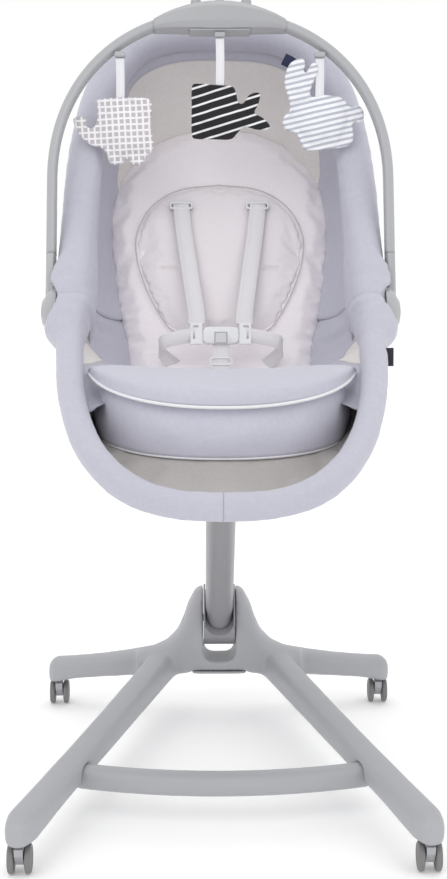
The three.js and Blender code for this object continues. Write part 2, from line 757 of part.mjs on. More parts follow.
function rollHalf(t, direction) {
  const s = abs(t - 0.5) * 2;
  return direction < 0
    ? lerp(RIM_ROLL.front, RIM_ROLL.hub, s ** 3)
    : lerp(RIM_ROLL.head, RIM_ROLL.side, min(1, s * 2.5));
}

// Padded roll round the tube.
function rimRoll(path, direction) {
  const from = shareAt(path, RIM_START);
  const outer = (t) => roundedSection(rollHalf(t, direction), rollHalf(t, direction) + 1, 2.2, 9);
  const bore = roundedSection(RIM_TUBE_RADIUS + 2, RIM_TUBE_RADIUS + 2, 2, 6);
  const roll = solid(sweep(path, Z, outer, RIM_STEPS, from, 1 - from));
  return shape(roll.subtract(solid(sweep(path, Z, bore, RIM_STEPS, from * 0.3, 1 - from * 0.3))));
}

function inPlane(path, t, inset) {
  const across = v3().crossVectors(path.getTangentAt(t), Z).normalize();
  const point = path.getPointAt(t);
  const inward = point.clone().addScaledVector(across, 1).length() < point.length() ? 1 : -1;
  return point.addScaledVector(across, inward * inset);
}

// Mesh from the front roll down to below the band.
function frontMesh() {
  const ends = shareAt(frontPath, RIM_START + 20);
  const share = (t) => lerp(1 - ends, ends, 1 - t);
  const drop = radians(-FRONT_DROP);
  const upper = (t) => {
    return inPlane(frontPath, share(t), 12).setZ(-RIM_ROLL.front - 3);
  };
  const lower = (t) => {
    const point = panRound(lerp(0.17, 0.83, t), 11);
    return point.setZ(BAND_BOTTOM - 5).applyAxisAngle(X, drop);
  };
  const away = (t) => v3(0, -0.35, -1).normalize();
  return wall(upper, lower, away, 28);
}

function buildFrontRim() {
  const front = groupAt(pivot, 0, 0, 0, radians(FRONT_DROP));
  const face = LUG_INNER_FACE + LUG_THICKNESS + 1;
  add(front, "front_rim_tube", shape(rimTube(frontPath, -1, face)), materials.frameSteel);
  add(front, "front_rim_roll", rimRoll(frontPath, -1), materials.rimFabric);
  add(front, "front_mesh", frontMesh(), materials.meshFabric);
}

// ---------------------------------------------------------------- backrest

// Half width of the back pad at a height, wide at the shoulders and round at the head.
function padHalf(y, pad, foot) {
  const shoulder = pad.top - pad.halfWidth * 1.05;
  if (y < shoulder) {
    const s = max(0, y) / shoulder;
    return lerp(foot, pad.halfWidth, sin((s * PI) / 2));
  }
  const s = (y - shoulder) / (pad.top - shoulder);
  return pad.halfWidth * sqrt(max(0, 1 - s ** 2.3));
}

// Outline from the right foot up over the head to the left foot.
function padOutline(pad, foot, start, grow = 0, steps = 15) {
  const right = Array.from({ length: steps + 1 }, (_, i) => {
    const s = sin(((i / steps) * PI) / 2);
    const y = lerp(start, pad.top, s);
    return new THREE.Vector2(padHalf(y, pad, foot) + (i < steps ? grow : 0), y + (i ? grow * s : 0));
  });
  return [...right, ...mirroredX(right.slice(0, -1)).reverse()];
}

const BACK_FOOT = 139;
const REDUCER_FOOT = 66;

function backBoard() {
  const outline = padOutline(BACK_PAD, BACK_FOOT, BACK_START, -5);
  return plate(outline, -BOARD_DEPTH - BOARD_THICKNESS, -BOARD_DEPTH);
}

function backPad() {
  const low = -BOARD_DEPTH + GAP;
  return plate(padOutline(BACK_PAD, BACK_FOOT, BACK_START), low, low + BACK_PAD.thickness, 7);
}

const padFace = -BOARD_DEPTH + GAP + BACK_PAD.thickness;
const reducerFace = padFace + GAP + REDUCER.thickness;

function reducerPad() {
  return plate(padOutline(REDUCER, REDUCER_FOOT, BACK_START), padFace + GAP, reducerFace, 4);
}

// Fabric wall from the roll in to the back pad's edge.
function backWall() {
  const ends = shareAt(backPath, BACK_START + 4);
  const edge = padOutline(BACK_PAD, BACK_FOOT, BACK_START + 4, 7, 20).map((p) => v3(p.x, p.y, 0));
  const rim = new THREE.CatmullRomCurve3(edge);
  const upper = (t) => inPlane(backPath, lerp(ends, 1 - ends, t), 9).setZ(-RIM_ROLL.side - 4);
  const lower = (t) => rim.getPointAt(t).setZ(-BOARD_DEPTH - 4);
  const away = (t) => {
    const a = lerp(0, PI, t);
    return v3(cos(a), 0.5 * sin(a), -0.5).normalize();
  };
  return wall(upper, lower, away, 28);
}

// Rim tube, its lugs and the bar that carries the board.
function backFrame() {
  const face = LUG_INNER_FACE + 2 * LUG_THICKNESS + 2;
  const under = -BOARD_DEPTH - BOARD_THICKNESS - GAP;
  const bracket = [[-6, -22], [36, -14], [40, -36], [86, under], [86, under - 9], [56, under - 9], [12, -60]];
  const outer = face + LUG_THICKNESS - 1;
  const pieces = [rimTube(backPath, 1, face)];
  for (const [, side] of SIDES) {
    const plateFaces = [side * (face + 1), side * outer];
    pieces.push(solid(sidePlate(bracket, min(...plateFaces), max(...plateFaces))));
  }
  pieces.push(solid(block([-outer, 56, under - 9], [outer, 86, under])));
  const bores = SIDES.map(([, side]) => {
    const ends = [side * (face - 4), side * (outer + 4)];
    return solid(drum(HUB_PIN_RADIUS + RUNNING, min(...ends), max(...ends)));
  });
  return shape(cut(join(...pieces), ...bores));
}

// ---------------------------------------------------------------- harness

const strapTop = { x: 60, y: 228 };

function shoulderStrap(side) {
  const lift = reducerFace + 2;
  const points = [
    v3(side * strapTop.x, strapTop.y, lift),
    v3(side * 55, 190, lift + 1),
    v3(side * 45, 110, lift + 7),
    v3(side * 36, 28, lift + 20),
  ];
  return strap(points, v3(1, side * -0.12, 0).normalize());
}

// Flat loop through which the strap leaves the pad.
function strapSlide(side) {
  const outline = roundedSection(18, 6.5, 5, 16).map(([x, y]) => new THREE.Vector2(x, y));
  const frame = new THREE.Shape(outline);
  frame.holes.push(new THREE.Path(roundedSection(14.2, 3.2, 8, 8).map(([x, y]) => new THREE.Vector2(x, y))));
  const geometry = new THREE.ExtrudeGeometry(frame, { depth: 3, bevelEnabled: false });
  return geometry.translate(side * (strapTop.x + 1), strapTop.y + 8, reducerFace + GAP);
}

const leanBack = radians(BACK_RISE - 90);

function tongue() {
  const { width, height, depth } = TONGUE;
  const body = solid(block([0, -depth / 2, -height / 2], [width, depth / 2, height / 2]));
  const slot = solid(block([width - 7, -depth, -8], [width - 4, depth, 8]));
  const waist = solid(block([6, -depth, height / 2 - 7], [width - 4, depth, height / 2 - 4]));
  return shape(cut(body, slot, waist));
}

function buckleBody() {
  const { width, height, depth } = BUCKLE;
  const outline = roundedSection(width / 2, height / 2, 6, 20).map(([x, y]) => new THREE.Vector2(x, y));
  const body = solid(plate(outline, -depth / 2, depth / 2, 2).rotateX(PI / 2));
  return shape(body.subtract(solid(block([-9, -depth, -height / 2 - 1], [9, -1, 4]))));
}

function buckleButton() {
  const { height, depth } = BUCKLE;
  return block([-9 + GAP, -depth / 2 - 0.6, -height / 2 + 1], [9 - GAP, -3.2, 4 - GAP]);
}

function buildHarness(back) {
  for (const [name, side] of SIDES) {
    add(back, `shoulder_strap_${name}`, shoulderStrap(side), materials.webbing);
    add(back, `strap_slide_${name}`, strapSlide(side), materials.bucklePlastic);
  }
  const [y, z] = [BUCKLE.behindHub, -BUCKLE.belowHub];
  const clasp = groupAt(pivot, 0, y, z, leanBack * 0.6);
  add(clasp, "buckle_body", buckleBody(), materials.bucklePlastic);
  add(clasp, "buckle_button", buckleButton(), materials.panelPlastic);
  for (const [name, side] of SIDES) {
    const clip = add(clasp, `buckle_tongue_${name}`, tongue(), materials.bucklePlastic);
    clip.position.set(side * (BUCKLE.width / 2 + GAP), 0, 3);
    clip.rotation.z = side < 0 ? PI : 0;
    const from = BUCKLE.width / 2 + TONGUE.width + 3;
    const points = [
      v3(side * from, y, z),
      v3(side * (from + 20), y - 6, z - 2),
      v3(side * (from + 45), y - 2, z - 10),
      v3(side * (from + 44), y + 14, z - 27),
      v3(side * (from + 26), y + 22, z - 43),
    ];
    add(pivot, `waist_strap_${name}`, waistStrap(points), materials.webbing);
  }
  const crotch = [
    v3(0, y - 5, z - BUCKLE.height / 2 - 1.5),
    v3(0, y - 12, z - 24),
    v3(0, y - 22, panHeight(y - 22) + SEAT_PAD_THICKNESS + 2),
  ];
  add(pivot, "crotch_strap", strap(crotch, X), materials.webbing);
}

function waistStrap(points) {
  const path = new THREE.CatmullRomCurve3(points);
  const steps = 16;
  const half = WEBBING / 2 - 2;
  return loft(
    Array.from({ length: steps + 1 }, (_, i) => {
      const t = i / steps;
      const across = v3(0, 0.35 * t, 1).normalize();
      const face = v3().crossVectors(path.getTangentAt(t), across).normalize();
      across.crossVectors(face, path.getTangentAt(t)).normalize();
      const centre = path.getPointAt(t);
      const edges = [[-half, -1], [half, -1], [half, 1], [-half, 1]];
      return edges.map(([a, s]) =>
        centre.clone().addScaledVector(across, a).addScaledVector(face, (s * WEBBING_THICKNESS) / 2),
      );
    }),
  );
}

function buildBack() {
  const back = groupAt(pivot, 0, 0, 0, radians(BACK_RISE));
  add(back, "back_rim_frame", backFrame(), materials.frameSteel);
  add(back, "back_rim_roll", rimRoll(backPath, 1), materials.rimFabric);
  add(back, "back_board", backBoard(), materials.boardPlastic);
  add(back, "back_wall", backWall(), materials.meshFabric);
  add(back, "back_pad", backPad(), materials.padFabric);
  add(back, "reducer_pad", reducerPad(), materials.padFabric);
  buildHarness(back);
}

// ---------------------------------------------------------------- toy bar

// Centre line of the arch, from the joint on the left up and over to the right.
function archPath(from) {
  const straight = [];
  for (let z = from; z < ARCH.springing; z += 40) straight.push(v3(-ARCH.halfWidth, 0, z));
  const round = Array.from({ length: 25 }, (_, i) => {
    const a = PI - (i / 24) * PI;
    const x = ARCH.halfWidth * power(cos(a), 2 / ARCH.power);
    return v3(x, 0, ARCH.springing + ARCH.rise * power(sin(a), 2 / ARCH.power));
  });
  return new THREE.CatmullRomCurve3([...straight, ...round, ...mirroredX(straight).reverse()]);
}

function archHeight(x) {
  const share = 1 - abs(x / ARCH.halfWidth) ** ARCH.power;
  return ARCH.springing + ARCH.rise * share ** (1 / ARCH.power);
}

const archSection = (extra) =>
  roundedSection(ARCH_HALF_THICKNESS + extra, ARCH_HALF_DEPTH + extra, 3, 8);

const ARCH_STEPS = 40;

function archTube() {
  return sweep(archPath(ARCH_JOINT + GAP), Y, archSection(0), ARCH_STEPS);
}

// Disc on the recline hub with the arm that the arch plugs on to.
function archEnd(side) {
  const face = DISC_INNER_FACE;
  const rim = face + DISC_THICKNESS;
  const profile = [
    [face, 0], [face, DISC_RADIUS], [face + 6, DISC_RADIUS], [face + 13, DISC_RADIUS - 6],
    [face + 18, DISC_RADIUS - 15], [rim, 17], [rim, 0],
  ];
  const disc = solid(turned(profile, 20));
  const arm = solid(
    loft(
      [10, 45, ARCH_JOINT].map((z) => {
        const wide = lerp(ARCH_HALF_DEPTH + 5, ARCH_HALF_DEPTH, (z - 10) / (ARCH_JOINT - 10));
        return roundedSection(ARCH_HALF_THICKNESS, wide, 3, 8).map(([a, u]) => v3(ARCH.halfWidth + a, u, z));
      }),
    ),
  );
  const bore = solid(drum(9 + RUNNING, face - 1, face + 12));
  const well = solid(drum(14, face + 9, rim + 2));
  const geometry = shape(cut(join(disc, arm), bore, well));
  return side < 0 ? geometry.rotateZ(PI) : geometry;
}

const panelTop = archHeight(0) + 21;
const panelBottom = archHeight(0) - 29;

// Lens-shaped housing round the crown of the arch.
function toyPanel() {
  const stations = Array.from({ length: 13 }, (_, i) => lerp(-PANEL_HALF_LENGTH, PANEL_HALF_LENGTH, i / 12));
  const lens = solid(
    loft(
      stations.map((x) => {
        const s = cos(((x / PANEL_HALF_LENGTH) * PI) / 2);
        const high = archHeight(x) + lerp(ARCH_HALF_THICKNESS + 2, panelTop - archHeight(0), s);
        const low = archHeight(x) - lerp(ARCH_HALF_THICKNESS + 2, archHeight(0) - panelBottom, s);
        const deep = ARCH_HALF_DEPTH + lerp(2, 10, sqrt(s));
        const ring = roundedSection(deep, (high - low) / 2, 3.2, 10);
        return ring.map(([a, u]) => v3(x, a, (high + low) / 2 + u));
      }),
    ),
  );
  const hollow = solid(sweep(archPath(ARCH_JOINT), Y, archSection(2 * GAP), (ARCH_STEPS * 2) / 5, 0.3, 0.7));
  const lid = solid(block([-46, -14, panelBottom - 10], [46, 14, panelBottom + 4]));
  const wells = KEY_PLACES.map((x) =>
    solid(post(KEY_RADIUS + 0.4, panelTop - 9.5, panelTop + 5).translate(x, 0, 0)),
  );
  return shape(cut(lens, hollow, lid, ...wells));
}

function panelLid() {
  return block([-46 + GAP, -14 + GAP, panelBottom + 0.6], [46 - GAP, 14 - GAP, panelBottom + 4 - GAP]);
}

function panelKey() {
  return post(KEY_RADIUS, panelTop - 6.5, panelTop + 3);
}

function ribbonClip() {
  return block([-8, -5, -8], [8, 5, 0]);
}

// Toy on its ribbon; the outline hangs below the ribbon's foot.
function toy(outline, ribbonLength, thickness) {
  const face = new THREE.Shape(new THREE.SplineCurve([...outline, outline[0]]).getPoints(2 * outline.length));
  const options = { depth: thickness - 8, bevelThickness: 4, bevelSize: 4, bevelOffset: -4, bevelSegments: 1 };
  const body = new THREE.ExtrudeGeometry(face, options).rotateX(PI / 2).translate(0, thickness / 2 - 4, -ribbonLength);
  const ribbon = block([-RIBBON_WIDTH / 2, -1, -ribbonLength - 8], [RIBBON_WIDTH / 2, 1, 0]);
  return shape(join(solid(body), solid(ribbon)));
}

const v2 = (x, y) => new THREE.Vector2(x, y);

// Outlines with the ribbon's foot at 0, 0.
const elephant = [
  v2(41, 6), v2(44, -42), v2(40, -70), v2(28, -90), v2(12, -80), v2(-4, -80), v2(-12, -92), v2(-24, -78),
  v2(-30, -54), v2(-46, -50), v2(-60, -34), v2(-66, -14), v2(-56, -10), v2(-48, -26), v2(-36, -28), v2(-34, 2),
  v2(0, 10),
];
const fish = [
  v2(26, 2), v2(34, -10), v2(36, -28), v2(48, -26), v2(62, -8), v2(70, -14), v2(60, -36), v2(72, -56),
  v2(66, -66), v2(44, -58), v2(30, -74), v2(0, -78), v2(-34, -74), v2(-40, -40), v2(-36, 2), v2(0, 8),
];
const rabbit = [
  v2(32, 4), v2(42, -10), v2(54, -8), v2(60, -22), v2(48, -34), v2(40, -56), v2(22, -76), v2(-14, -78),
  v2(-28, -62), v2(-36, -44), v2(-52, -36), v2(-50, -18), v2(-38, -4), v2(-48, 22), v2(-50, 46), v2(-40, 58),
  v2(-28, 44), v2(-20, 14), v2(0, 8),
];

const toys = [
  ["elephant_toy", -150, elephant, 62, "toyBeige"],
  ["fish_toy", 0, fish, 66, "toyBlack"],
  ["rabbit_toy", 150, rabbit, 54, "toyGrey"],
];

function buildToyBar() {
  const lean = radians(-BAR_LEAN);
  const bar = groupAt(pivot, 0, 0, 0, lean);
  add(bar, "toy_arch", archTube(), materials.archPlastic);
  for (const [name, side] of SIDES) add(bar, `arch_end_${name}`, archEnd(side), materials.archPlastic);
  add(bar, "toy_panel", toyPanel(), materials.panelPlastic);
  add(bar, "panel_lid", panelLid(), materials.panelPlastic);
  const keyNames = ["left", "middle", "right"];
  KEY_PLACES.forEach((x, i) => {
    add(bar, `panel_key_${keyNames[i]}`, panelKey(), materials.archPlastic).position.x = x;
  });
  for (const [name, x, outline, ribbonLength, cloth] of toys) {
    const under = x === 0 ? panelBottom : archHeight(abs(x) + 8) - 1.35 * ARCH_HALF_THICKNESS;
    const clip = add(bar, name.replace("toy", "clip"), ribbonClip(), materials.archPlastic);
    clip.position.set(x, -CLIP_FORWARD, under - GAP);
    const hang = v3(x, -CLIP_FORWARD, under - 8 - 2 * GAP).applyAxisAngle(X, lean);
    const hanging = groupAt(pivot, hang.x, hang.y, hang.z - 1.6);
    add(hanging, name, toy(outline, ribbonLength, 18), materials[cloth]);
  }
}

buildBase();
buildColumn();
buildHead();
buildSeat();
buildFrontRim();
buildBack();
buildToyBar();

export default model;
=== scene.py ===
"""Bouncer seat on a castored stand: its cloth, cushions, mouldings, finishes and studio.

X runs to the baby's left, -Y to the front and +Z up, in metres, with the floor at Z = 0.
"""

import json
import math
from collections import namedtuple

import bmesh
import bpy
from mathutils import Matrix, Vector, kdtree, noise

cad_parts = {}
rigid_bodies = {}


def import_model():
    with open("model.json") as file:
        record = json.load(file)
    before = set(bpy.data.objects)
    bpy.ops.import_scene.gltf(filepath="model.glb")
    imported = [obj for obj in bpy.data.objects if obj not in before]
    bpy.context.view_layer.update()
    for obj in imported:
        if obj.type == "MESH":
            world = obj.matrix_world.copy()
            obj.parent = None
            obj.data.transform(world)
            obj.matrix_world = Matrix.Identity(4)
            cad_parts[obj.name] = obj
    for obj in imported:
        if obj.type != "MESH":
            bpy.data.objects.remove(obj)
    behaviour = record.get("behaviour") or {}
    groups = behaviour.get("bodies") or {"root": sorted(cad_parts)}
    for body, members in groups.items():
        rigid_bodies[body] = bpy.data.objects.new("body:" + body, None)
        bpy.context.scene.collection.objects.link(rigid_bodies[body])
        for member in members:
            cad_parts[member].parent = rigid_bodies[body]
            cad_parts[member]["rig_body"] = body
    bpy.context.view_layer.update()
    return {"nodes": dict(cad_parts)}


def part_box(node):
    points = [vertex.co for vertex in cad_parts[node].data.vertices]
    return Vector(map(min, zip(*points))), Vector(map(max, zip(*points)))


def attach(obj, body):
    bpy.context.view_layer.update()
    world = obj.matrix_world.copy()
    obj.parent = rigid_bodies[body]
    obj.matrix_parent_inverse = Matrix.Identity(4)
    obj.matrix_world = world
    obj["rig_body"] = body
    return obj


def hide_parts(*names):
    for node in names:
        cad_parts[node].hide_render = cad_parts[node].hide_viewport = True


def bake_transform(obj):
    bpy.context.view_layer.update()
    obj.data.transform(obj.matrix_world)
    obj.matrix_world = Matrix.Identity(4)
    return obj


bl_info = {
    "name": "Bouncer Seat",
    "version": (1, 0, 0),
    "blender": (4, 5, 0),
    "location": "View3D > Sidebar > Bouncer Seat",
    "description": "Builds the cloth, cushions, mouldings and studio of a bouncer seat round its frame",
    "category": "Add Mesh",
}

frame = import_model()
NODES = frame["nodes"]

HUB = Vector((0, 0.035, 0.705))
SIDES = (("left", -1), ("right", 1))
CASTERS = ("front_left", "front_right", "rear_left", "rear_right")


def at_hub(degrees):
    return Matrix.Translation(HUB) @ Matrix.Rotation(math.radians(degrees), 4, "X")


FRONT_DROP = 29
BACK_RISE = 57
FRONT = at_hub(FRONT_DROP)
BACK = at_hub(BACK_RISE)
SEAT = at_hub(0)
BAR = at_hub(-18)

# Padding of the cover: half width at the far end and near the hub, the extra width and height round the hub
# with the distance where they start to fade and the length they fade over, and the same for its lip.
Padding = namedtuple("Padding", "far near wider higher start fade lip_start lip_fade")

# Half of the rim: half width, length, roundness of the corners and the way it runs from the hub.
Rim = namedtuple("Rim", "half_width length roundness way padding")
RIM_FRONT = Rim(0.2175, 0.434, 2.72, -1, Padding(0.0174, 0.0200, 0.0095, 0.025, 0.0, 0.085, 0.045, 0.045))
RIM_BACK = Rim(0.213, 0.501, 3.4, 1, Padding(0.0262, 0.0272, 0.0030, 0.020, 0.03, 0.15, 0.10, 0.09))
PAN_RISE = 0.16
PAN_REAR = 0.045
PAN_TOP = -0.117
BAND_FOOT = -0.170
BAND_LIFT = 0.018

# The back cushion, in the backrest's frame: half width, top, half width at the foot, back and front faces.
PAD_HALF = 0.171
PAD_TOP = 0.389
PAD_FOOT = 0.139
PAD_BACK = -0.1265
PAD_FACE = -0.1105

RIM_THREADS = 700.0
JERSEY_THREADS = 820.0
FINE_THREADS = 1200.0
TAG_THREADS = 900.0
NET_CELL = 0.0034
STRAP_WIDTH = 0.025
STRAP_THICKNESS = 0.0019
RIBBON_WIDTH = 0.0127


# ---------------------------------------------------------------- sizes and colours


def colour_property(name, description, default):
    return bpy.props.FloatVectorProperty(
        name=name, description=description, subtype="COLOR", size=3, min=0, max=1, default=default
    )


def length_property(name, description, default):
    return bpy.props.FloatProperty(
        name=name, description=description, unit="LENGTH", default=default, precision=4, min=0
    )


class BouncerCloth(bpy.types.PropertyGroup):
    """Colours and fullness of the soft parts"""

    rim: colour_property("Rim cloth", "Lavender grey of the rim and bands", (0.49, 0.49, 0.565))
    net: colour_property("Net", "Beige of the open mesh", (0.50, 0.475, 0.465))
    pad: colour_property("Pads", "Pale jersey of the cushions", (0.86, 0.815, 0.845))
    piping: colour_property("Piping", "White of the piped edges", (0.80, 0.80, 0.82))
    webbing: colour_property("Webbing", "Light grey of the harness", (0.73, 0.715, 0.74))
    swell: length_property("Swell", "Most that a cushion swells past its pattern", 0.009)
    voxel: length_property("Mesh size", "Spacing of the cloth's points in a simulation", 0.0055)


class BouncerMouldings(bpy.types.PropertyGroup):
    """Colours of the plastic and metal parts"""

    base: colour_property("Stand", "Cool grey of the base moulding", (0.385, 0.39, 0.41))
    column: colour_property("Column", "Grey of the column and head", (0.285, 0.283, 0.30))
    arch: colour_property("Toy bar", "Silver grey of the arch", (0.385, 0.39, 0.405))
    wheel: colour_property("Wheels", "Dark warm grey of the casters", (0.19, 0.185, 0.185))
    edge: length_property("Edge", "Usual rounding of a moulded edge", 0.0012)


class BouncerStudio(bpy.types.PropertyGroup):
    """Camera and light"""

    lens: bpy.props.FloatProperty(
        name="Lens", description="Focal length on a 36 mm wide back", unit="CAMERA", default=66.09, min=10
    )
    key: bpy.props.FloatProperty(
        name="Key light", description="Power of the large light", unit="POWER", default=20.0, min=0
    )
    sky: bpy.props.FloatProperty(
        name="Surround", description="Strength of the white surround", subtype="FACTOR", default=1.0, min=0
    )


def cloth_of(context):
    return context.scene.bouncer_cloth


def mouldings_of(context):
    return context.scene.bouncer_mouldings


# ---------------------------------------------------------------- numbers and lines


def eased(t):
    t = min(max(t, 0.0), 1.0)
    return t * t * (3 - 2 * t)


def between(a, b, t):
    return a + (b - a) * t


def signed_power(value, exponent):
    return math.copysign(abs(value) ** exponent, value)


def even(line, count):
    """Evenly spaced points along a line of many points."""
    reach = [0.0]
    for p, q in zip(line, line[1:]):
        reach.append(reach[-1] + (q - p).length)
    spaced, k = [], 0
    for i in range(count):
        want = reach[-1] * i / (count - 1)
        while k < len(line) - 2 and reach[k + 1] < want:
            k += 1
        span = (reach[k + 1] - reach[k]) or 1.0
        spaced.append(line[k].lerp(line[k + 1], min(1.0, (want - reach[k]) / span)))
    return spaced


def flowing(points, count):
    """Evenly spaced points on a smooth line through the given ones."""
    points = [Vector(p) for p in points]
    ends = [2 * points[0] - points[1], *points, 2 * points[-1] - points[-2]]
    dense = []
    for a, b, c, d in zip(ends, ends[1:], ends[2:], ends[3:]):
        for i in range(16):
            t = i / 16
            cubic = (3 * b - a - 3 * c + d) * t**3
            dense.append(0.5 * (2 * b + (c - a) * t + (2 * a - 5 * b + 4 * c - d) * t * t + cubic))
    return even([*dense, points[-1]], count)


def looped(points, count):
    """Evenly spaced points on a smooth closed line, the first not repeated."""
    points = [Vector(p) for p in points]
    turns = [*points[-2:], *points, *points[:2]]
    line = flowing(turns, 16 * len(turns))
    start = min(range(len(line) // 2), key=lambda i: (line[i] - points[0]).length)
    stop = min(range(len(line) // 2, len(line)), key=lambda i: (line[i] - points[0]).length)
    return even(line[start : stop + 1], count + 1)[:-1]


def rounded(half_x, half_y, exponent, count):
    """Points of a rounded rectangle, as (x, y) pairs."""
    turns = [(i + 0.5) * 2 * math.pi / count for i in range(count)]
    return [
        (half_x * signed_power(math.cos(a), 2 / exponent), half_y * signed_power(math.sin(a), 2 / exponent))
        for a in turns
    ]


def rim_line(half, count):
    """Evenly spaced centre line of half of the rim, in its own plane, from right to left."""
    width, length, roundness, way, _ = half
    dense = []
    for i in range(400):
        a = math.pi * i / 399
        x = width * signed_power(math.cos(a), 2 / roundness)
        dense.append(Vector((x, way * length * math.sin(a) ** (2 / roundness), 0)))
    return even(dense, count)


def tangents(line):
    ahead = [*line[1:], line[-1]]
    behind = [line[0], *line[:-1]]
    return [(q - p).normalized() for p, q in zip(behind, ahead)]


def pan_edge(t, grow=0.0):
    """Edge of the seat pan, from the right rear corner round the front to the left one, at hub height."""
    s = min(t, 1 - t) * 2
    if s < 0.3:
        x = between(0.140, 0.168, math.sin(s / 0.3 * math.pi / 2)) + grow
        y = between(PAN_REAR, -0.080, s / 0.3)
    else:
        a = (s - 0.3) / 0.7 * math.pi / 2
        x = (0.168 + grow) * abs(math.cos(a)) ** 0.9
        y = -0.080 - (0.177 + grow) * math.sin(a) ** 0.9
    return Vector((x if t <= 0.5 else -x, y, 0))


def pan_height(y):
    return PAN_TOP + PAN_RISE * (PAN_REAR - y)


def ripple(p, size, seed=0.0):
    """Smooth noise from -1 to 1 whose waves are about the given size."""
    return noise.noise(p / size + Vector((seed, 1.7 * seed, 0.3)))


# ---------------------------------------------------------------- shader parts


def put(tree, kind, inputs=None, **settings):
    made = tree.nodes.new("ShaderNode" + kind)
    for key, value in settings.items():
        setattr(made, key, value)
    for key, value in (inputs or {}).items():
        if isinstance(value, bpy.types.NodeSocket):
            tree.links.new(value, made.inputs[key])
        else:
            made.inputs[key].default_value = value
    return made


def maths(tree, operation, a, b=0.0, clamp=False):
    return put(tree, "Math", {0: a, 1: b}, operation=operation, use_clamp=clamp).outputs[0]


def ramp(tree, value, low, high):
    return put(tree, "MapRange", {0: value, 1: low, 2: high}, interpolation_type="SMOOTHSTEP").outputs[0]


def mixed(tree, factor, a, b):
    return put(tree, "Mix", {0: factor, 6: a, 7: b}, data_type="RGBA").outputs[2]


def noisy(tree, vector, scale, detail=2.0):
    return put(tree, "TexNoise", {"Vector": vector, "Scale": scale, "Detail": detail}).outputs["Fac"]


def rgba(colour, factor=1.0):
    return (*(min(1.0, c * factor) for c in colour), 1.0)


GROUPS = {}


def group(name, inputs, outputs, build):
    """Node group with the named sockets, made once."""
    if name not in GROUPS:
        tree = bpy.data.node_groups.new(name, "ShaderNodeTree")
        for label, kind in inputs:
            tree.interface.new_socket(name=label, in_out="INPUT", socket_type="NodeSocket" + kind)
        for label, kind in outputs:
            tree.interface.new_socket(name=label, in_out="OUTPUT", socket_type="NodeSocket" + kind)
        entry = tree.nodes.new("NodeGroupInput")
        leave = tree.nodes.new("NodeGroupOutput")
        for label, socket in build(tree, entry.outputs).items():
            tree.links.new(socket, leave.inputs[label])
        GROUPS[name] = tree
    return GROUPS[name]


def weave_group():
    def build(tree, given):
        part = put(tree, "SeparateXYZ", {0: given["Vector"]}).outputs
        turn = maths(tree, "MULTIPLY", given["Threads"], 2 * math.pi)
        level, climb = maths(tree, "MULTIPLY", part[1], 0.62), maths(tree, "MULTIPLY", part[2], 0.78)
        rise = maths(tree, "ADD", level, climb)
        warp = maths(tree, "SINE", maths(tree, "MULTIPLY", part[0], turn))
        weft = maths(tree, "SINE", maths(tree, "MULTIPLY", rise, turn))
        cross = maths(tree, "MULTIPLY", warp, weft)
        fuzz = noisy(tree, given["Vector"], 900.0)
        heather = noisy(tree, given["Vector"], 160.0, 4.0)
        broad = noisy(tree, given["Vector"], 9.0)
        height = maths(tree, "ADD", maths(tree, "MULTIPLY", cross, 0.35), fuzz)
        tone = maths(tree, "ADD", maths(tree, "MULTIPLY", cross, 0.12), maths(tree, "MULTIPLY", heather, 0.8))
        tone = maths(tree, "ADD", tone, maths(tree, "MULTIPLY", broad, 0.5), clamp=True)
        return {"Colour": mixed(tree, tone, given["Shade"], given["Colour"]), "Height": height}

    return group(
        "Woven cloth",
        [("Vector", "Vector"), ("Colour", "Color"), ("Shade", "Color"), ("Threads", "Float")],
        [("Colour", "Color"), ("Height", "Float")],
        build,
    )


def net_group():
    def build(tree, given):
        part = put(tree, "SeparateXYZ", {0: given["Vector"]}).outputs
        waves = [maths(tree, "SINE", maths(tree, "MULTIPLY", axis, given["Pitch"])) for axis in part[:2]]
        cells = maths(tree, "MULTIPLY", waves[0], waves[1])
        holes = ramp(tree, cells, 0.05, 0.6)
        broad = noisy(tree, given["Vector"], 12.0)
        # Painted shade for the holes: how dark they are drawn, varied by broad noise, standing for the dark
        # seen through real openings.
        shade = maths(tree, "MULTIPLY", holes, maths(tree, "ADD", 0.35, maths(tree, "MULTIPLY", broad, 0.4)))
        return {"Hole shade": shade, "Height": maths(tree, "SUBTRACT", 1.0, holes)}

    return group(
        "Open net",
        [("Vector", "Vector"), ("Pitch", "Float")],
        [("Hole shade", "Float"), ("Height", "Float")],
        build,
    )


def grain_group():
    def build(tree, given):
        fine = noisy(tree, given["Vector"], 1400.0)
        broad = noisy(tree, given["Vector"], 6.0, 3.0)
        scuff = ramp(tree, noisy(tree, given["Vector"], 45.0, 6.0), 0.56, 0.72)
        rough = maths(tree, "ADD", given["Roughness"], maths(tree, "MULTIPLY", scuff, 0.05))
        rough = maths(tree, "ADD", rough, maths(tree, "MULTIPLY", maths(tree, "SUBTRACT", fine, 0.5), 0.12))
        tone = maths(tree, "ADD", 0.45, maths(tree, "MULTIPLY", broad, 0.6), clamp=True)
        colour = mixed(tree, tone, given["Shade"], given["Colour"])
        return {"Colour": colour, "Roughness": rough, "Height": fine}

    return group(
        "Moulded grain",
        [("Vector", "Vector"), ("Colour", "Color"), ("Shade", "Color"), ("Roughness", "Float")],
        [("Colour", "Color"), ("Roughness", "Float"), ("Height", "Float")],
        build,
    )


FINISHES = {}


def once(make):
    """Makes a finish the first time that its name is asked for, and gives the same one back after that."""

    def finish(name, *given, **settings):
        if name not in FINISHES:
            FINISHES[name] = make(name, *given, **settings)
        return FINISHES[name]

    return finish


def blank(name):
    material = bpy.data.materials.new(name)
    material.use_nodes = True
    tree = material.node_tree
    tree.nodes.clear()
    shader = tree.nodes.new("ShaderNodeBsdfPrincipled")
    out = tree.nodes.new("ShaderNodeOutputMaterial")
    tree.links.new(shader.outputs[0], out.inputs[0])
    return material, tree, shader


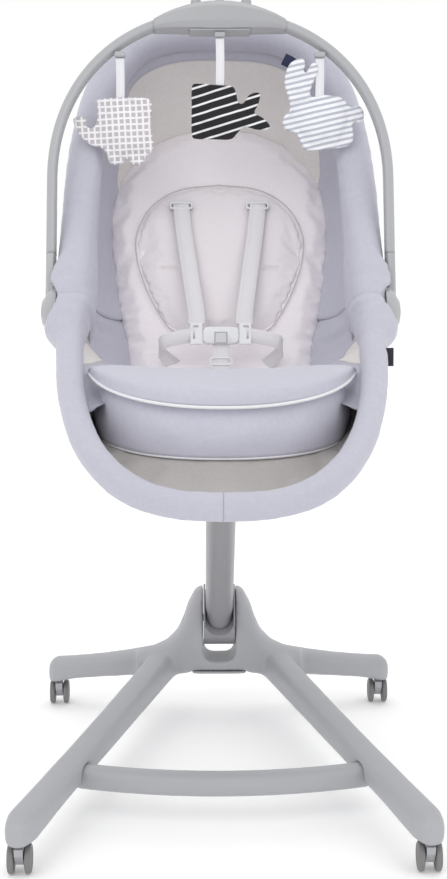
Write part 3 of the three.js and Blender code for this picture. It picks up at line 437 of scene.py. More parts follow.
def use(tree, shared, inputs):
    made = tree.nodes.new("ShaderNodeGroup")
    made.node_tree = shared
    for key, value in inputs.items():
        if isinstance(value, bpy.types.NodeSocket):
            tree.links.new(value, made.inputs[key])
        else:
            made.inputs[key].default_value = value
    return made.outputs


def bumped(tree, shader, height, strength, distance):
    bump = put(tree, "Bump", {"Height": height, "Strength": strength, "Distance": distance})
    tree.links.new(bump.outputs[0], shader.inputs["Normal"])


def fibrous(shader, roughness, sheen):
    shader.inputs["Roughness"].default_value = roughness
    shader.inputs["Sheen Weight"].default_value = sheen


def object_place(tree):
    return put(tree, "TexCoord").outputs["Object"]


def flat_place(tree):
    return put(tree, "UVMap", uv_map="cloth").outputs[0]


def weave(tree, place, colour, shade, threads):
    return use(tree, weave_group(), {"Vector": place, "Colour": colour, "Shade": shade, "Threads": threads})


@once
def moulded_plastic(name, colour, roughness=0.42, bump=0.05):
    material, tree, shader = blank(name)
    given = {"Vector": object_place(tree), "Colour": rgba(colour), "Shade": rgba(colour, 0.9)}
    grain = use(tree, grain_group(), {**given, "Roughness": roughness})
    tree.links.new(grain["Colour"], shader.inputs["Base Color"])
    tree.links.new(grain["Roughness"], shader.inputs["Roughness"])
    bumped(tree, shader, grain["Height"], bump, 0.0004)
    return material


@once
def coated_metal(name, colour, roughness=0.32, metallic=0.85):
    material = moulded_plastic(name, colour, roughness, 0.03)
    material.node_tree.nodes["Principled BSDF"].inputs["Metallic"].default_value = metallic
    return material


@once
def woven(name, colour, threads=RIM_THREADS, depth=0.25, shade=0.84):
    material, tree, shader = blank(name)
    cloth = weave(tree, object_place(tree), rgba(colour), rgba(colour, shade), threads)
    tree.links.new(cloth["Colour"], shader.inputs["Base Color"])
    fibrous(shader, 0.92, 0.25)
    bumped(tree, shader, cloth["Height"], depth, 0.0006)
    return material


@once
def netted(name, colour, cloth_colour=None):
    """Open net whose holes are painted dark, as painted shade seen through them; with a cloth colour it is
    plain cloth where the piece's hem attribute is below zero.
    """
    material, tree, shader = blank(name)
    net = use(tree, net_group(), {"Vector": flat_place(tree), "Pitch": 2 * math.pi / NET_CELL})
    yarn = weave(tree, object_place(tree), rgba(colour), rgba(colour, 0.86), RIM_THREADS)
    # The holes are drawn at 0.42 of the net's colour: painted shade standing for the dark seen through the
    # open net.
    tone = mixed(tree, net["Hole shade"], yarn["Colour"], rgba(colour, 0.42))
    height = net["Height"]
    if cloth_colour is not None:
        hem = put(tree, "Attribute", attribute_name="hem").outputs["Fac"]
        above = ramp(tree, hem, -0.004, 0.004)
        stitch = maths(tree, "SUBTRACT", 1.0, ramp(tree, maths(tree, "ABSOLUTE", hem), 0.0, 0.02))
        cloth = weave(tree, object_place(tree), rgba(cloth_colour), rgba(cloth_colour, 0.84), RIM_THREADS)
        tone = mixed(tree, above, cloth["Colour"], tone)
        tone = mixed(tree, maths(tree, "MULTIPLY", stitch, 0.35), tone, rgba(cloth_colour, 0.5))
        height = maths(tree, "SUBTRACT", height, stitch)
    tree.links.new(tone, shader.inputs["Base Color"])
    fibrous(shader, 0.9, 0.15)
    bumped(tree, shader, height, 0.35, 0.0008)
    return material


@once
def banded(name, colour, width):
    """Woven tape with ribs along its length and a stitched line near each edge."""
    material, tree, shader = blank(name)
    place = put(tree, "SeparateXYZ", {0: flat_place(tree)}).outputs
    ribs = maths(tree, "SINE", maths(tree, "MULTIPLY", place[0], 2 * math.pi / 0.0022))
    picks = maths(tree, "SINE", maths(tree, "MULTIPLY", place[1], 2 * math.pi / 0.0016))
    across = maths(tree, "PINGPONG", place[0], width / 2)
    edge = maths(tree, "ABSOLUTE", maths(tree, "SUBTRACT", across, 0.0035))
    seam = maths(tree, "SUBTRACT", 1.0, ramp(tree, edge, 0.0002, 0.0011))
    height = maths(tree, "ADD", maths(tree, "MULTIPLY", ribs, 0.5), maths(tree, "MULTIPLY", picks, 0.4))
    height = maths(tree, "SUBTRACT", height, seam)
    tone = maths(tree, "ADD", 0.7, maths(tree, "MULTIPLY", height, 0.18), clamp=True)
    tree.links.new(mixed(tree, tone, rgba(colour, 0.72), rgba(colour)), shader.inputs["Base Color"])
    fibrous(shader, 0.8, 0.2)
    bumped(tree, shader, height, 0.3, 0.0005)
    return material


@once
def patterned(name, ground, line, angle, pitch, share, check=False):
    """Printed jersey with straight lines at an angle, or crossing lines as a check."""
    material, tree, shader = blank(name)
    place = object_place(tree)
    part = put(tree, "SeparateXYZ", {0: place}).outputs
    wobble = maths(tree, "MULTIPLY", maths(tree, "SUBTRACT", noisy(tree, place, 30.0), 0.5), 0.0016)

    def lines(turned):
        run = maths(tree, "MULTIPLY", part[0], math.cos(turned))
        climb = maths(tree, "MULTIPLY", part[2], math.sin(turned))
        along = maths(tree, "ADD", maths(tree, "ADD", run, climb), wobble)
        wave = maths(tree, "PINGPONG", along, pitch / 2)
        half = pitch * share / 2
        return maths(tree, "SUBTRACT", 1.0, ramp(tree, wave, half, half + 0.0008))

    mask = lines(angle)
    if check:
        mask = maths(tree, "MAXIMUM", mask, lines(angle + math.pi / 2))
    tone = mixed(tree, mask, rgba(ground), rgba(line))
    cloth = weave(tree, place, tone, mixed(tree, 0.25, tone, rgba(ground, 0.6)), 900.0)
    tree.links.new(cloth["Colour"], shader.inputs["Base Color"])
    fibrous(shader, 0.95, 0.2)
    bumped(tree, shader, cloth["Height"], 0.25, 0.0006)
    return material


# ---------------------------------------------------------------- pieces


def settle(name, bm, material, smooth_angle=None, recalculate=True):
    """Turns the mesh into an object with its place in its points."""
    if recalculate:
        bmesh.ops.recalc_face_normals(bm, faces=bm.faces)
    mesh = bpy.data.meshes.new(name)
    bm.to_mesh(mesh)
    bm.free()
    mesh.polygons.foreach_set("use_smooth", [True] * len(mesh.polygons))
    if smooth_angle is not None:
        mesh.set_sharp_from_angle(angle=math.radians(smooth_angle))
    obj = bpy.data.objects.new(name, mesh)
    bpy.context.scene.collection.objects.link(obj)
    mesh.materials.append(material)
    return obj


def baked(obj):
    """Applies every modifier of an object."""
    graph = bpy.context.evaluated_depsgraph_get()
    graph.update()
    mesh = bpy.data.meshes.new_from_object(obj.evaluated_get(graph), depsgraph=graph)
    mesh.name = obj.name
    obj.modifiers.clear()
    obj.data = mesh
    mesh.polygons.foreach_set("use_smooth", [True] * len(mesh.polygons))
    return obj


def subdivided(obj, levels=1):
    fine = obj.modifiers.new("Subdivision", "SUBSURF")
    fine.levels = levels
    fine.render_levels = levels
    return obj


def thickened(obj, thickness, offset=0.0):
    wall = obj.modifiers.new("Thickness", "SOLIDIFY")
    wall.thickness = thickness
    wall.offset = offset
    return obj


def placed(obj, body, slot, *nodes):
    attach(obj, body)
    if nodes:
        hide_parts(*nodes)
    return obj


def loft(name, rings, material, closed=True, capped=True, transform=None, hems=None):
    """Skin over rings of points, with its size in metres as its UV map; hems gives each point's hem mark."""
    bm = bmesh.new()
    uv = bm.loops.layers.uv.new("cloth")
    mark = bm.verts.layers.float.new("hem") if hems else None
    count = len(rings[0])
    ring = [bm.verts.new(p) for p in rings[0]]
    place = {v: (0, j) for j, v in enumerate(ring)}
    pairs = list(zip(ring, ring[1:])) + ([(ring[-1], ring[0])] if closed else [])
    edges = [bm.edges.new(pair) for pair in pairs]
    ends = [ring]
    for k, points in enumerate(rings[1:], 1):
        grown = bmesh.ops.extrude_edge_only(bm, edges=edges)["geom"]
        fresh = {v for v in grown if isinstance(v, bmesh.types.BMVert)}
        edges = [e for e in grown if isinstance(e, bmesh.types.BMEdge) and set(e.verts) <= fresh]
        row = [None] * count
        for v in fresh:
            below = next(place[e.other_vert(v)] for e in v.link_edges if e.other_vert(v) in place)
            row[below[1]] = v
        for j, v in enumerate(row):
            v.co = points[j]
            place[v] = (k, j)
        ends.append(row)
    middles = [sum(points, Vector()) / count for points in rings]
    along = [0.0]
    for p, q in zip(middles, middles[1:]):
        along.append(along[-1] + (q - p).length)
    around = []
    for points in rings:
        reach = [0.0]
        for p, q in zip(points, [*points[1:], points[0]]):
            reach.append(reach[-1] + (q - p).length)
        around.append(reach)
    if hems:
        for v, (k, j) in place.items():
            v[mark] = hems[k][j]
    for face in bm.faces:
        spots = [place[loop.vert] for loop in face.loops]
        wraps = closed and {0, count - 1} <= {j for _, j in spots} and count > 2
        for loop, (k, j) in zip(face.loops, spots):
            loop[uv].uv = (around[k][count if wraps and j == 0 else j], along[k])
    if closed and capped:
        bm.faces.new(ends[0])
        bm.faces.new(ends[-1])
    if transform is not None:
        bmesh.ops.transform(bm, matrix=transform, verts=bm.verts)
    return settle(name, bm, material)


def tape(name, line, across, width, thickness, material, transform=None):
    """Flat strap along a line; across gives the direction of its width at each point."""
    rings = []
    for k, (point, ahead) in enumerate(zip(line, tangents(line))):
        side = across(k / (len(line) - 1))
        face = ahead.cross(side).normalized()
        side = face.cross(ahead).normalized()
        half, thick = width / 2, thickness / 2
        corners = [(-half, -thick * 0.5), (-half * 0.96, -thick), (half * 0.96, -thick), (half, -thick * 0.5)]
        corners += [(half, thick * 0.5), (half * 0.96, thick), (-half * 0.96, thick), (-half, thick * 0.5)]
        rings.append([point + side * a + face * b for a, b in corners])
    return loft(name, rings, material, transform=transform)


def bead(name, line, radius, material, closed=False, sides=8):
    """Round cord of piping along a line."""
    rings = []
    line = [*line, line[0]] if closed else line
    ways = tangents(line)
    if closed:
        ways[0] = ways[-1] = (line[1] - line[-2]).normalized()
    up = Vector((0, 0, 1))
    for point, ahead in zip(line, ways):
        side = ahead.cross(up if abs(ahead.z) < 0.92 else Vector((0, 1, 0))).normalized()
        rise = side.cross(ahead)
        turns = [2 * math.pi * i / sides for i in range(sides)]
        rings.append([point + (side * math.cos(a) + rise * math.sin(a)) * radius for a in turns])
    return loft(name, rings, material, capped=not closed)


def remeshed(obj, voxel, rounds):
    """Gives an object an even mesh and relaxes it."""
    remesh = obj.modifiers.new("Remesh", "REMESH")
    remesh.mode = "VOXEL"
    remesh.voxel_size = voxel
    relax = obj.modifiers.new("Relax", "SMOOTH")
    relax.iterations = rounds
    relax.factor = 0.5
    return baked(obj)


def cad_copy(node):
    bm = bmesh.new()
    bm.from_mesh(NODES[node].data)
    bmesh.ops.remove_doubles(bm, verts=bm.verts, dist=1e-5)
    return bm


def refined(node, material, slot, edge=0.0012, segments=2, angle=32):
    """Copy of a frame part with rounded edges in place of sharp ones."""
    bm = cad_copy(node)
    bmesh.ops.dissolve_limit(bm, angle_limit=math.radians(0.6), verts=bm.verts, edges=bm.edges)
    obj = settle(node + "_finished", bm, material, smooth_angle=angle, recalculate=False)
    if edge:
        bevel = obj.modifiers.new("Edge", "BEVEL")
        bevel.width = edge
        bevel.segments = segments
        bevel.limit_method = "ANGLE"
        bevel.angle_limit = math.radians(angle)
        bevel.harden_normals = True
    return placed(obj, NODES[node]["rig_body"], slot, node)


def moulding(node, material, slot, voxel, rounds):
    """Copy of a frame part remeshed and relaxed into a soft-edged moulding."""
    obj = settle(node + "_moulding", cad_copy(node), material, recalculate=False)
    remeshed(obj, voxel, rounds)
    return placed(obj, NODES[node]["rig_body"], slot, node)


def reshaped(obj, move):
    """Moves each point of an object's mesh to where move says."""
    mesh = obj.data
    normals = [v.normal.copy() for v in mesh.vertices]
    points = [move(v.co.copy(), n) for v, n in zip(mesh.vertices, normals)]
    mesh.vertices.foreach_set("co", [c for p in points for c in p])
    mesh.update()
    return obj


FILLING_FRAMES = 20


def inflated(obj, voxel, cap, pressure=4.0, shrink=-0.03, held=None, rounds=3):
    """Fills a closed pattern like a cushion by cloth simulation, and applies the result."""
    remeshed(obj, voxel, rounds)
    start = [v.co.copy() for v in obj.data.vertices]
    if held is not None:
        kept = obj.vertex_groups.new(name="held")
        kept.add([i for i, p in enumerate(start) if held(p)], 1.0, "REPLACE")
    cloth = obj.modifiers.new("Cloth", "CLOTH")
    options = cloth.settings
    options.quality = 4
    options.use_pressure = True
    options.uniform_pressure_force = pressure
    options.shrink_min = shrink
    options.effector_weights.gravity = 0.0
    if held is not None:
        options.vertex_group_mass = "held"
    cloth.point_cache.frame_start = 1
    cloth.point_cache.frame_end = FILLING_FRAMES
    scene = bpy.context.scene
    for number in range(1, FILLING_FRAMES + 1):
        scene.frame_set(number)
    graph = bpy.context.evaluated_depsgraph_get()
    moved = obj.evaluated_get(graph).data
    offsets = [v.co - p for v, p in zip(moved.vertices, start)]
    obj.modifiers.clear()
    scene.frame_set(1)
    for v, p, offset in zip(obj.data.vertices, start, offsets):
        if offset.length > cap:
            offset.length = cap
        v.co = p + offset
    obj.vertex_groups.clear()
    obj.data.update()
    return obj


# ---------------------------------------------------------------- stand


class BUILD_OT_stand(bpy.types.Operator):
    """Base moulding, front crossbar, underside cover and tilt pin"""

    bl_idname = "bouncer.stand"
    bl_label = "Stand"

    def execute(self, context):
        sizes = mouldings_of(context)
        plastic = moulded_plastic("Stand plastic", sizes.base, 0.46)
        moulding("base_shell", plastic, "base_plastic", 0.0034, 16)
        moulding("front_crossbar", plastic, "base_plastic", 0.003, 10)
        refined("hub_underside_cover", plastic, "base_plastic", sizes.edge)
        pin = coated_metal("Pin steel", (0.48, 0.49, 0.5), 0.28, 1.0)
        for node in ("column_tilt_pin", "seat_head_pin"):
            refined(node, pin, "pin_steel", 0.0006)
        return {"FINISHED"}


def wheel_profile():
    tread = [(0.0, 0.003), (0.0066, 0.003), (0.0070, 0.0165), (0.0078, 0.0192), (0.0092, 0.0200)]
    side = [(0.0134, 0.0200), (0.0150, 0.0192), (0.0159, 0.0170), (0.0154, 0.0150), (0.0147, 0.0140)]
    hub = [(0.0147, 0.0090), (0.0154, 0.0078), (0.0158, 0.0060), (0.0158, 0.0)]
    half = tread + side + hub
    return [(-x, r) for x, r in reversed(half[1:])] + half[1:]


class BUILD_OT_casters(bpy.types.Operator):
    """Four twin-wheel casters with their forks"""

    bl_idname = "bouncer.casters"
    bl_label = "Casters"

    def execute(self, context):
        sizes = mouldings_of(context)
        tread = moulded_plastic("Caster tread", sizes.wheel, 0.5, 0.08)
        fork = moulded_plastic("Caster fork plastic", sizes.base, 0.45)
        for place in CASTERS:
            low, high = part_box("caster_wheels_" + place)
            centre = (low + high) / 2
            bm = bmesh.new()
            points = [bm.verts.new(centre + Vector((x, 0, r))) for x, r in wheel_profile()]
            edges = [bm.edges.new(pair) for pair in zip(points, points[1:])]
            geometry = points + edges
            bmesh.ops.spin(
                bm, geom=geometry, cent=centre, axis=(1, 0, 0), angle=2 * math.pi, steps=40, use_merge=True
            )
            bmesh.ops.remove_doubles(bm, verts=bm.verts, dist=1e-6)
            wheels = settle("wheels_" + place, bm, tread, smooth_angle=40)
            placed(wheels, "wheels_" + place, "wheel_rubber", "caster_wheels_" + place)
            refined("caster_fork_" + place, fork, "caster_plastic", 0.0016, 3)
        return {"FINISHED"}


class BUILD_OT_column(bpy.types.Operator):
    """Column, its root and top, the head under the seat and its release button"""

    bl_idname = "bouncer.column"
    bl_label = "Column"

    def execute(self, context):
        sizes = mouldings_of(context)
        plastic = moulded_plastic("Column plastic", sizes.column, 0.36)
        moulding("column_tube", plastic, "column_plastic", 0.0021, 7)
        refined("column_root", plastic, "column_plastic", 0.002, 3)
        refined("column_top", plastic, "column_plastic", sizes.edge)
        refined("seat_head", plastic, "column_plastic", 0.004, 3)
        button = moulded_plastic("Button plastic", (0.30, 0.31, 0.32), 0.4)
        refined("height_release_button", button, "panel_plastic", 0.0025, 3)
        return {"FINISHED"}


class BUILD_OT_underframe(bpy.types.Operator):
    """Cradle, pan, tubes, lugs and recline buttons"""

    bl_idname = "bouncer.underframe"
    bl_label = "Underframe"

    def execute(self, context):
        sizes = mouldings_of(context)
        metal = coated_metal("Grey powder coat", (0.33, 0.335, 0.35), 0.4, 0.3)
        board = moulded_plastic("Pan plastic", (0.26, 0.265, 0.275), 0.55)
        button = moulded_plastic("Button plastic", (0.30, 0.31, 0.32), 0.4)
        refined("seat_cradle", metal, "frame_tube", 0.0015)
        refined("front_rim_tube", metal, "frame_tube", 0.0008, 1)
        refined("back_rim_frame", metal, "frame_tube", 0.0008, 1)
        pan = refined("seat_pan", board, "board_plastic", 0.003, 3)
        reshaped(pan, lambda p, n: p - Vector((0, 0, 0.026 * eased((-0.150 - (p.y - HUB.y)) / 0.09))))
        for name, _ in SIDES:
            refined("recline_hub_" + name, board, "panel_plastic", sizes.edge)
            refined("recline_button_" + name, button, "panel_plastic", sizes.edge, 3)
        return {"FINISHED"}


# ---------------------------------------------------------------- cloth of the rim and walls


COVER_STATIONS = 240
TAPER_LENGTH = {RIM_FRONT: 0.43, RIM_BACK: 0.5}
BAR_FRONT = Vector((0, -0.951, 0.309))
BAR_CLEARANCE = 0.0135
DISC_CLEARANCE = 0.0395
LIP_DEPTH = 0.0150


def fullness(half, from_hub):
    """Half width and half height of the cover at a distance from the hub."""
    pad = half.padding
    near = 1 - eased((from_hub - pad.start) / pad.fade)
    wide = between(pad.far, pad.near, 1 - min(1.0, from_hub / TAPER_LENGTH[half]))
    return wide + pad.wider * near, wide + 0.001 + pad.higher * near


def lipped(point, away, half, matrix, from_hub):
    """Pushes the cover out where it passes in front of the toy bar's disc and leg."""
    q = matrix @ point - HUB
    ahead = eased((q.dot(BAR_FRONT) - BAR_CLEARANCE) / 0.007)
    clear = ahead * eased((math.hypot(q.y, q.z) - DISC_CLEARANCE) / 0.008)
    reach = 1 - eased((from_hub - half.padding.lip_start) / half.padding.lip_fade)
    outer = max(0.0, away)
    return point + Vector((math.copysign(LIP_DEPTH * clear * reach * outer, point.x), 0, 0))


def cover_rings(half, stations, around, hub_turn, matrix):
    """Rings of the padded cover along half of the rim, from hub to hub, tucked in at both ends."""
    line = rim_line(half, stations)
    past_hub = Vector((0, half.way * 0.006, 0))
    line = [line[0] - past_hub, *line, line[-1] - past_hub]
    rings = []
    for k, (centre, ahead) in enumerate(zip(line, tangents(line))):
        from_hub = abs(centre.y)
        tucked = k in (0, len(line) - 1)
        wide, high = fullness(half, 0.0 if tucked else from_hub)
        outward = ahead.cross(Vector((0, 0, 1))).normalized()
        if outward.dot(Vector((centre.x, centre.y * 0.2, 0))) < 0:
            outward.negate()
        if from_hub < 0.02:
            outward = Vector((math.copysign(1, centre.x), 0, 0))
            centre = Vector((math.copysign(0.2145, centre.x), centre.y, 0))
        turn = Matrix.Rotation(math.radians(hub_turn * (1 - eased(from_hub / 0.10))), 3, "X")
        ring = []
        for a, u in rounded(wide, high, 2.35, around):
            offset = turn @ Vector((0, 0, u))
            point = centre + outward * a + offset
            near_hub = 1 - eased(from_hub / 0.12)
            seat_place = matrix @ point
            x, y, z = seat_place
            fold = ripple(Vector((x * 0.5, (y + z) * 1.4, z)), 0.026, 3)
            drag = ripple(Vector((x, y - z, 0)), 0.016, 8)
            broad = ripple(seat_place, 0.085, 5)
            small = ripple(Vector((k * 0.009, a, u * 0.6)), 0.024, half.way + 3)
            swell = 0.0013 * broad + fold * 0.0024 * near_hub + drag * 0.0010 * near_hub + small * 0.0007
            away = (outward * a + offset).normalized()
            point = point + away * (swell - (0.0015 if tucked else 0.0))
            ring.append(lipped(point, a / wide, half, matrix, from_hub))
        rings.append(ring)
    return rings


class BUILD_OT_rim_cover(bpy.types.Operator):
    """Padded cover along both halves of the rim, with its middle seams"""

    bl_idname = "bouncer.rim_cover"
    bl_label = "Rim cover"

    def execute(self, context):
        cloth = woven("Rim cloth", cloth_of(context).rim)
        seam = woven("Rim seam", tuple(0.72 * c for c in cloth_of(context).rim))
        middle = (FRONT_DROP + BACK_RISE) / 2
        halves = (
            ("front_cover", RIM_FRONT, FRONT, FRONT_DROP, "front_rim", "front_rim_roll", -1),
            ("back_cover", RIM_BACK, BACK, BACK_RISE, "backrest", "back_rim_roll", 1),
        )
        for name, half, matrix, angle, body, node, way in halves:
            rings = cover_rings(half, COVER_STATIONS, 48, middle - angle, matrix)
            cover = loft(name, rings, cloth, transform=matrix)
            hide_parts(node)
            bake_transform(cover)
            line = [matrix @ p for p in rings[COVER_STATIONS // 2 + 1]]
            ridge = bead(name + "_seam", line, 0.0006, seam, closed=True, sides=6)
            placed(ridge, body, "rim_fabric")
        self.tag()
        return {"FINISHED"}

    def tag(self):
        """Small blank tag sewn into the rim's outer seam."""
        cloth = woven("Dark tag", (0.02, 0.02, 0.03), TAG_THREADS)
        line = [FRONT @ Vector((x, -0.118, 0.004)) for x in (0.232, 0.238, 0.2425)]
        tag = tape("rim_tag", line, lambda t: Vector((0, 0.1, 1)), 0.026, 0.001, cloth)
        placed(tag, "front_rim", "rim_fabric")


def pad_half(y):
    """Half width of the back cushion at a height above its bend."""
    shoulder = PAD_TOP - PAD_HALF * 1.05
    if y < shoulder:
        return between(PAD_FOOT, PAD_HALF, math.sin(max(0.0, y) / shoulder * math.pi / 2))
    s = (y - shoulder) / (PAD_TOP - shoulder)
    return PAD_HALF * math.sqrt(max(0.0, 1 - s**2.3))


def pad_side(grow):
    """Right edge of the back cushion from above its bend to its top."""
    side = []
    for i in range(61):
        s = math.sin(i / 60 * math.pi / 2)
        y = between(0.054, PAD_TOP, s)
        side.append(Vector((pad_half(y) + (grow if i < 60 else 0), y + grow * s, 0)))
    return side


def mirrored(right):
    """The same points on the left, in the opposite order."""
    return [Vector((-p.x, p.y, 0)) for p in reversed(right)]


def cushion_edge(count, grow):
    """Evenly spaced edge of the whole back cushion, its tail over the seat still laid out flat."""
    tail = [(0.0, -0.236), (0.060, -0.236), (0.118, -0.235), (0.134, -0.226), (0.138, -0.19), (0.141, -0.11)]
    right = [Vector((x, y, 0)) for x, y in [*tail, (0.144, -0.01)]] + pad_side(grow)
    return even([*right, *mirrored(right[1:-1]), right[0]], count + 1)[:-1]


TURN_END = math.radians(66.1)
TURN_RADIUS = 0.1


def tail_bent(p):
    """Where a point of the back cushion goes once its tail is bent round onto the seat."""
    if p.y >= 0:
        return p
    down = eased(-p.y / 0.1)
    z = PAD_BACK + (p.z - PAD_BACK) * (1 - 0.42 * down) + 0.0195 * down
    turn = min(-p.y / TURN_RADIUS, TURN_END)
    spot = Vector((p.x, z * math.sin(-turn) * -1, z * math.cos(turn)))
    rest = max(0.0, -p.y - TURN_RADIUS * TURN_END)
    ahead = Vector((0, -math.cos(TURN_END), math.sin(TURN_END)))
    return spot + ahead * rest


def back_pad_edge(count, grow):
    """Evenly spaced edge of the upright part of the back cushion, from right foot to left."""
    right = pad_side(grow)
    return even(right + mirrored(right[:-1]), count)


def wall_net(colours):
    """Light net of the side walls, with rim cloth above its hem."""
    return netted("Wall net", tuple(min(0.9, 1.6 * c) for c in colours.net), colours.rim)


class BUILD_OT_back_wall(bpy.types.Operator):
    """Side walls of the backrest, cloth above and open net below, and the cover of its board"""

    bl_idname = "bouncer.back_wall"
    bl_label = "Back wall"

    def execute(self, context):
        colours = cloth_of(context)
        material = wall_net(colours)
        stations, steps = 150, 16
        rim = even([p for p in rim_line(RIM_BACK, 420) if p.y > 0.012], stations)
        edge = back_pad_edge(stations, -0.009)
        rings, hems = [], []
        for k, (high, low) in enumerate(zip(rim, edge)):
            inward = (Vector((0, 0.20, 0)) - high).normalized()
            upper = high + inward * 0.021 + Vector((0, 0, -0.014))
            lower = low + Vector((0, 0, -0.1272))
            border = between(1.06, 0.12, eased((high.y - 0.27) / 0.19))
            head = eased((low.y - 0.20) / 0.12)
            ring, hem = [], []
            for j in range(steps + 1):
                s = j / steps
                point = upper.lerp(lower, s)
                belly = math.sin(s * math.pi)
                point += -inward * 0.010 * belly + Vector((0, 0, -0.010 * belly))
                pleats = ripple(Vector((k * 0.02, s * 0.03, 0)), 0.034, 2) * 0.0045 * s * head
                soft = ripple(point, 0.06, 9) * 0.0035 * belly
                tucks = abs(math.sin(k * 0.42)) ** 6 * 0.003 * eased((s - 0.45) / 0.5) * head
                firm = 1 - eased((s - 0.8) / 0.2)
                ring.append(point + inward * (pleats + soft - tucks) * firm)
                hem.append(s - border)
            rings.append(ring)
            hems.append(hem)
        wall = loft("back_wall_cloth", rings, material, closed=False, transform=BACK, hems=hems)
        thickened(wall, 0.0022)
        placed(wall, "backrest", "mesh_fabric", "back_wall")
        cloth = woven("Rim cloth", colours.rim)
        refined("back_board", cloth, "board_plastic", 0.005, 4)
        return {"FINISHED"}


class BUILD_OT_front_cloth(bpy.types.Operator):
    """Band round the seat, its piping, the net below it and the side wings"""

    bl_idname = "bouncer.front_cloth"
    bl_label = "Front cloth"

    def execute(self, context):
        colours = cloth_of(context)
        piping = woven("White piping", colours.piping, FINE_THREADS)
        # The band's cloth is the rim cloth painted 1.22 times lighter: painted light that offsets the shade
        # the seat's lip casts on the band.
        self.band(woven("Band cloth", tuple(1.22 * c for c in colours.rim)), piping)
        self.wings(wall_net(colours))
        self.net(netted("Front net", colours.net))
        return {"FINISHED"}

    def band(self, cloth, piping):
        rings = []
        stations, steps = 130, 12
        for k in range(stations):
            t = k / (stations - 1)
            s = max(0.0, abs(t - 0.5) * 2 - 0.62) / 0.38
            top = pan_edge(t, between(0.002, 0.006, s))
            top.z = pan_height(top.y) - 0.002 - 0.026 * eased((-0.195 - top.y) / 0.06)
            foot = pan_edge(t, 0.004)
            foot.z = BAND_FOOT + BAND_LIFT * (abs(t - 0.5) * 2) ** 2
            out = Vector((top.x, (top.y + 0.08) * 1.2, 0)).normalized()
            ring = []
            for j in range(steps + 1):
                u = j / steps
                point = top.lerp(foot, u)
                belly = math.sin(u * math.pi) * 0.007
                drag = ripple(Vector((k * 0.006, 0, u * 0.05)), 0.05, 7) * 0.0035
                crease = ripple(Vector((k * 0.012, 0, u * 0.03)), 0.018, 4) * 0.0012
                ring.append(point + out * (0.003 + belly + (drag + crease) * math.sin(u * math.pi)))
            rings.append(ring)
        band = loft("front_band_cloth", rings, cloth, closed=False, transform=SEAT)
        thickened(band, 0.0026)
        placed(band, "seat", "rim_fabric", "front_band")
        hem = bead("front_band_piping", [SEAT @ ring[-1] for ring in rings], 0.0021, piping)
        placed(hem, "seat", "rim_fabric")

    def wings(self, material):
        """Cloth that closes the sides, from the rim in to the cushion's edge, with a patch of net."""
        for name, side in SIDES:
            rings, hems = [], []
            for k in range(61):
                t = k / 60
                outer = Vector((0.192, 0.040, 0.024)).lerp(Vector((0.203, -0.200, -0.115)), t)
                outer.x = between(0.193, 0.205, eased(t / 0.3))
                down = min(1.0, t / 0.72)
                turn = math.radians(between(-2, -101, down))
                reach = between(0.132, 0.118, down) + 0.018 * (1 - eased(t / 0.2))
                x = between(0.139, 0.118, down) + 0.012 * (1 - eased(t / 0.15))
                round_hub = Vector((x, reach * math.cos(turn), reach * math.sin(turn)))
                last = Vector((0.170, -0.200, -0.108))
                inner = round_hub.lerp(last, eased((t - 0.60) / 0.40))
                ring, hem = [], []
                for j in range(19):
                    u = j / 18
                    sag = math.sin(u * math.pi)
                    spot = outer.lerp(inner, u)
                    fold = ripple(Vector((k * 0.006, u * 0.05, side)), 0.026, 6) * 0.005 * sag
                    puff = 0.022 * sag * eased((t - 0.35) / 0.25) * (1 - eased((t - 0.7) / 0.25))
                    spot += Vector((0.012 * sag * (1 - t) + fold, 0.004 * sag, puff - 0.006 * sag))
                    ring.append(Vector((side * spot.x, spot.y, spot.z)))
                    hem.append(0.15 - math.hypot((t - 0.50) * 1.1, (u - 0.16) * 0.5))
                rings.append(ring)
                hems.append(hem)
            wing = loft("side_wing_" + name, rings, material, closed=False, transform=SEAT, hems=hems)
            thickened(wing, 0.0022)
            baked(wing)
            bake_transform(wing)

    def net(self, material):
        rings = []
        stations = 120
        line = even([p for p in rim_line(RIM_FRONT, 420) if p.y < -0.05], stations)
        drop = Matrix.Rotation(math.radians(-FRONT_DROP), 3, "X")
        for k, high in enumerate(line):
            t = k / (stations - 1)
            inward = (Vector((0, -0.19, 0)) - high).normalized()
            upper = high + inward * 0.010 + Vector((0, 0, -0.012))
            along = between(0.06, 0.94, t)
            low = pan_edge(along, 0.003)
            low.z = BAND_FOOT - 0.0015 + BAND_LIFT * (abs(along - 0.5) * 2) ** 2
            lower = drop @ low
            ring = []
            for j in range(13):
                u = j / 12
                sag = math.sin(u * math.pi)
                fold = ripple(Vector((k * 0.010, u * 0.03, 0)), 0.045, 12) * 0.009 * sag
                crease = ripple(Vector((k * 0.008, u * 0.09, 3)), 0.02, 8) * 0.003 * sag
                ring.append(upper.lerp(lower, u) + Vector((0, 0, -0.014 * sag + fold + crease)))
            rings.append(ring)
        net = loft("front_net_cloth", rings, material, closed=False, transform=FRONT)
        thickened(net, 0.0018)
        placed(net, "front_rim", "mesh_fabric", "front_mesh")


# ---------------------------------------------------------------- cushions


def plate_mesh(outline, low, high):
    """Closed plate from an outline of points at Z = 0."""
    bm = bmesh.new()
    face = bm.faces.new([bm.verts.new((p.x, p.y, low)) for p in outline])
    grown = bmesh.ops.extrude_face_region(bm, geom=[face])["geom"]
    verts = [v for v in grown if isinstance(v, bmesh.types.BMVert)]
    bmesh.ops.translate(bm, verts=verts, vec=(0, 0, high - low))
    bmesh.ops.triangulate(bm, faces=bm.faces)
    return bm


def edge_finder(outline):
    """Function giving a point's distance from an outline, both at Z = 0."""
    tree = kdtree.KDTree(len(outline))
    for i, q in enumerate(outline):
        tree.insert(q, i)
    tree.balance()
    return lambda p: tree.find(Vector((p.x, p.y, 0)))[2]


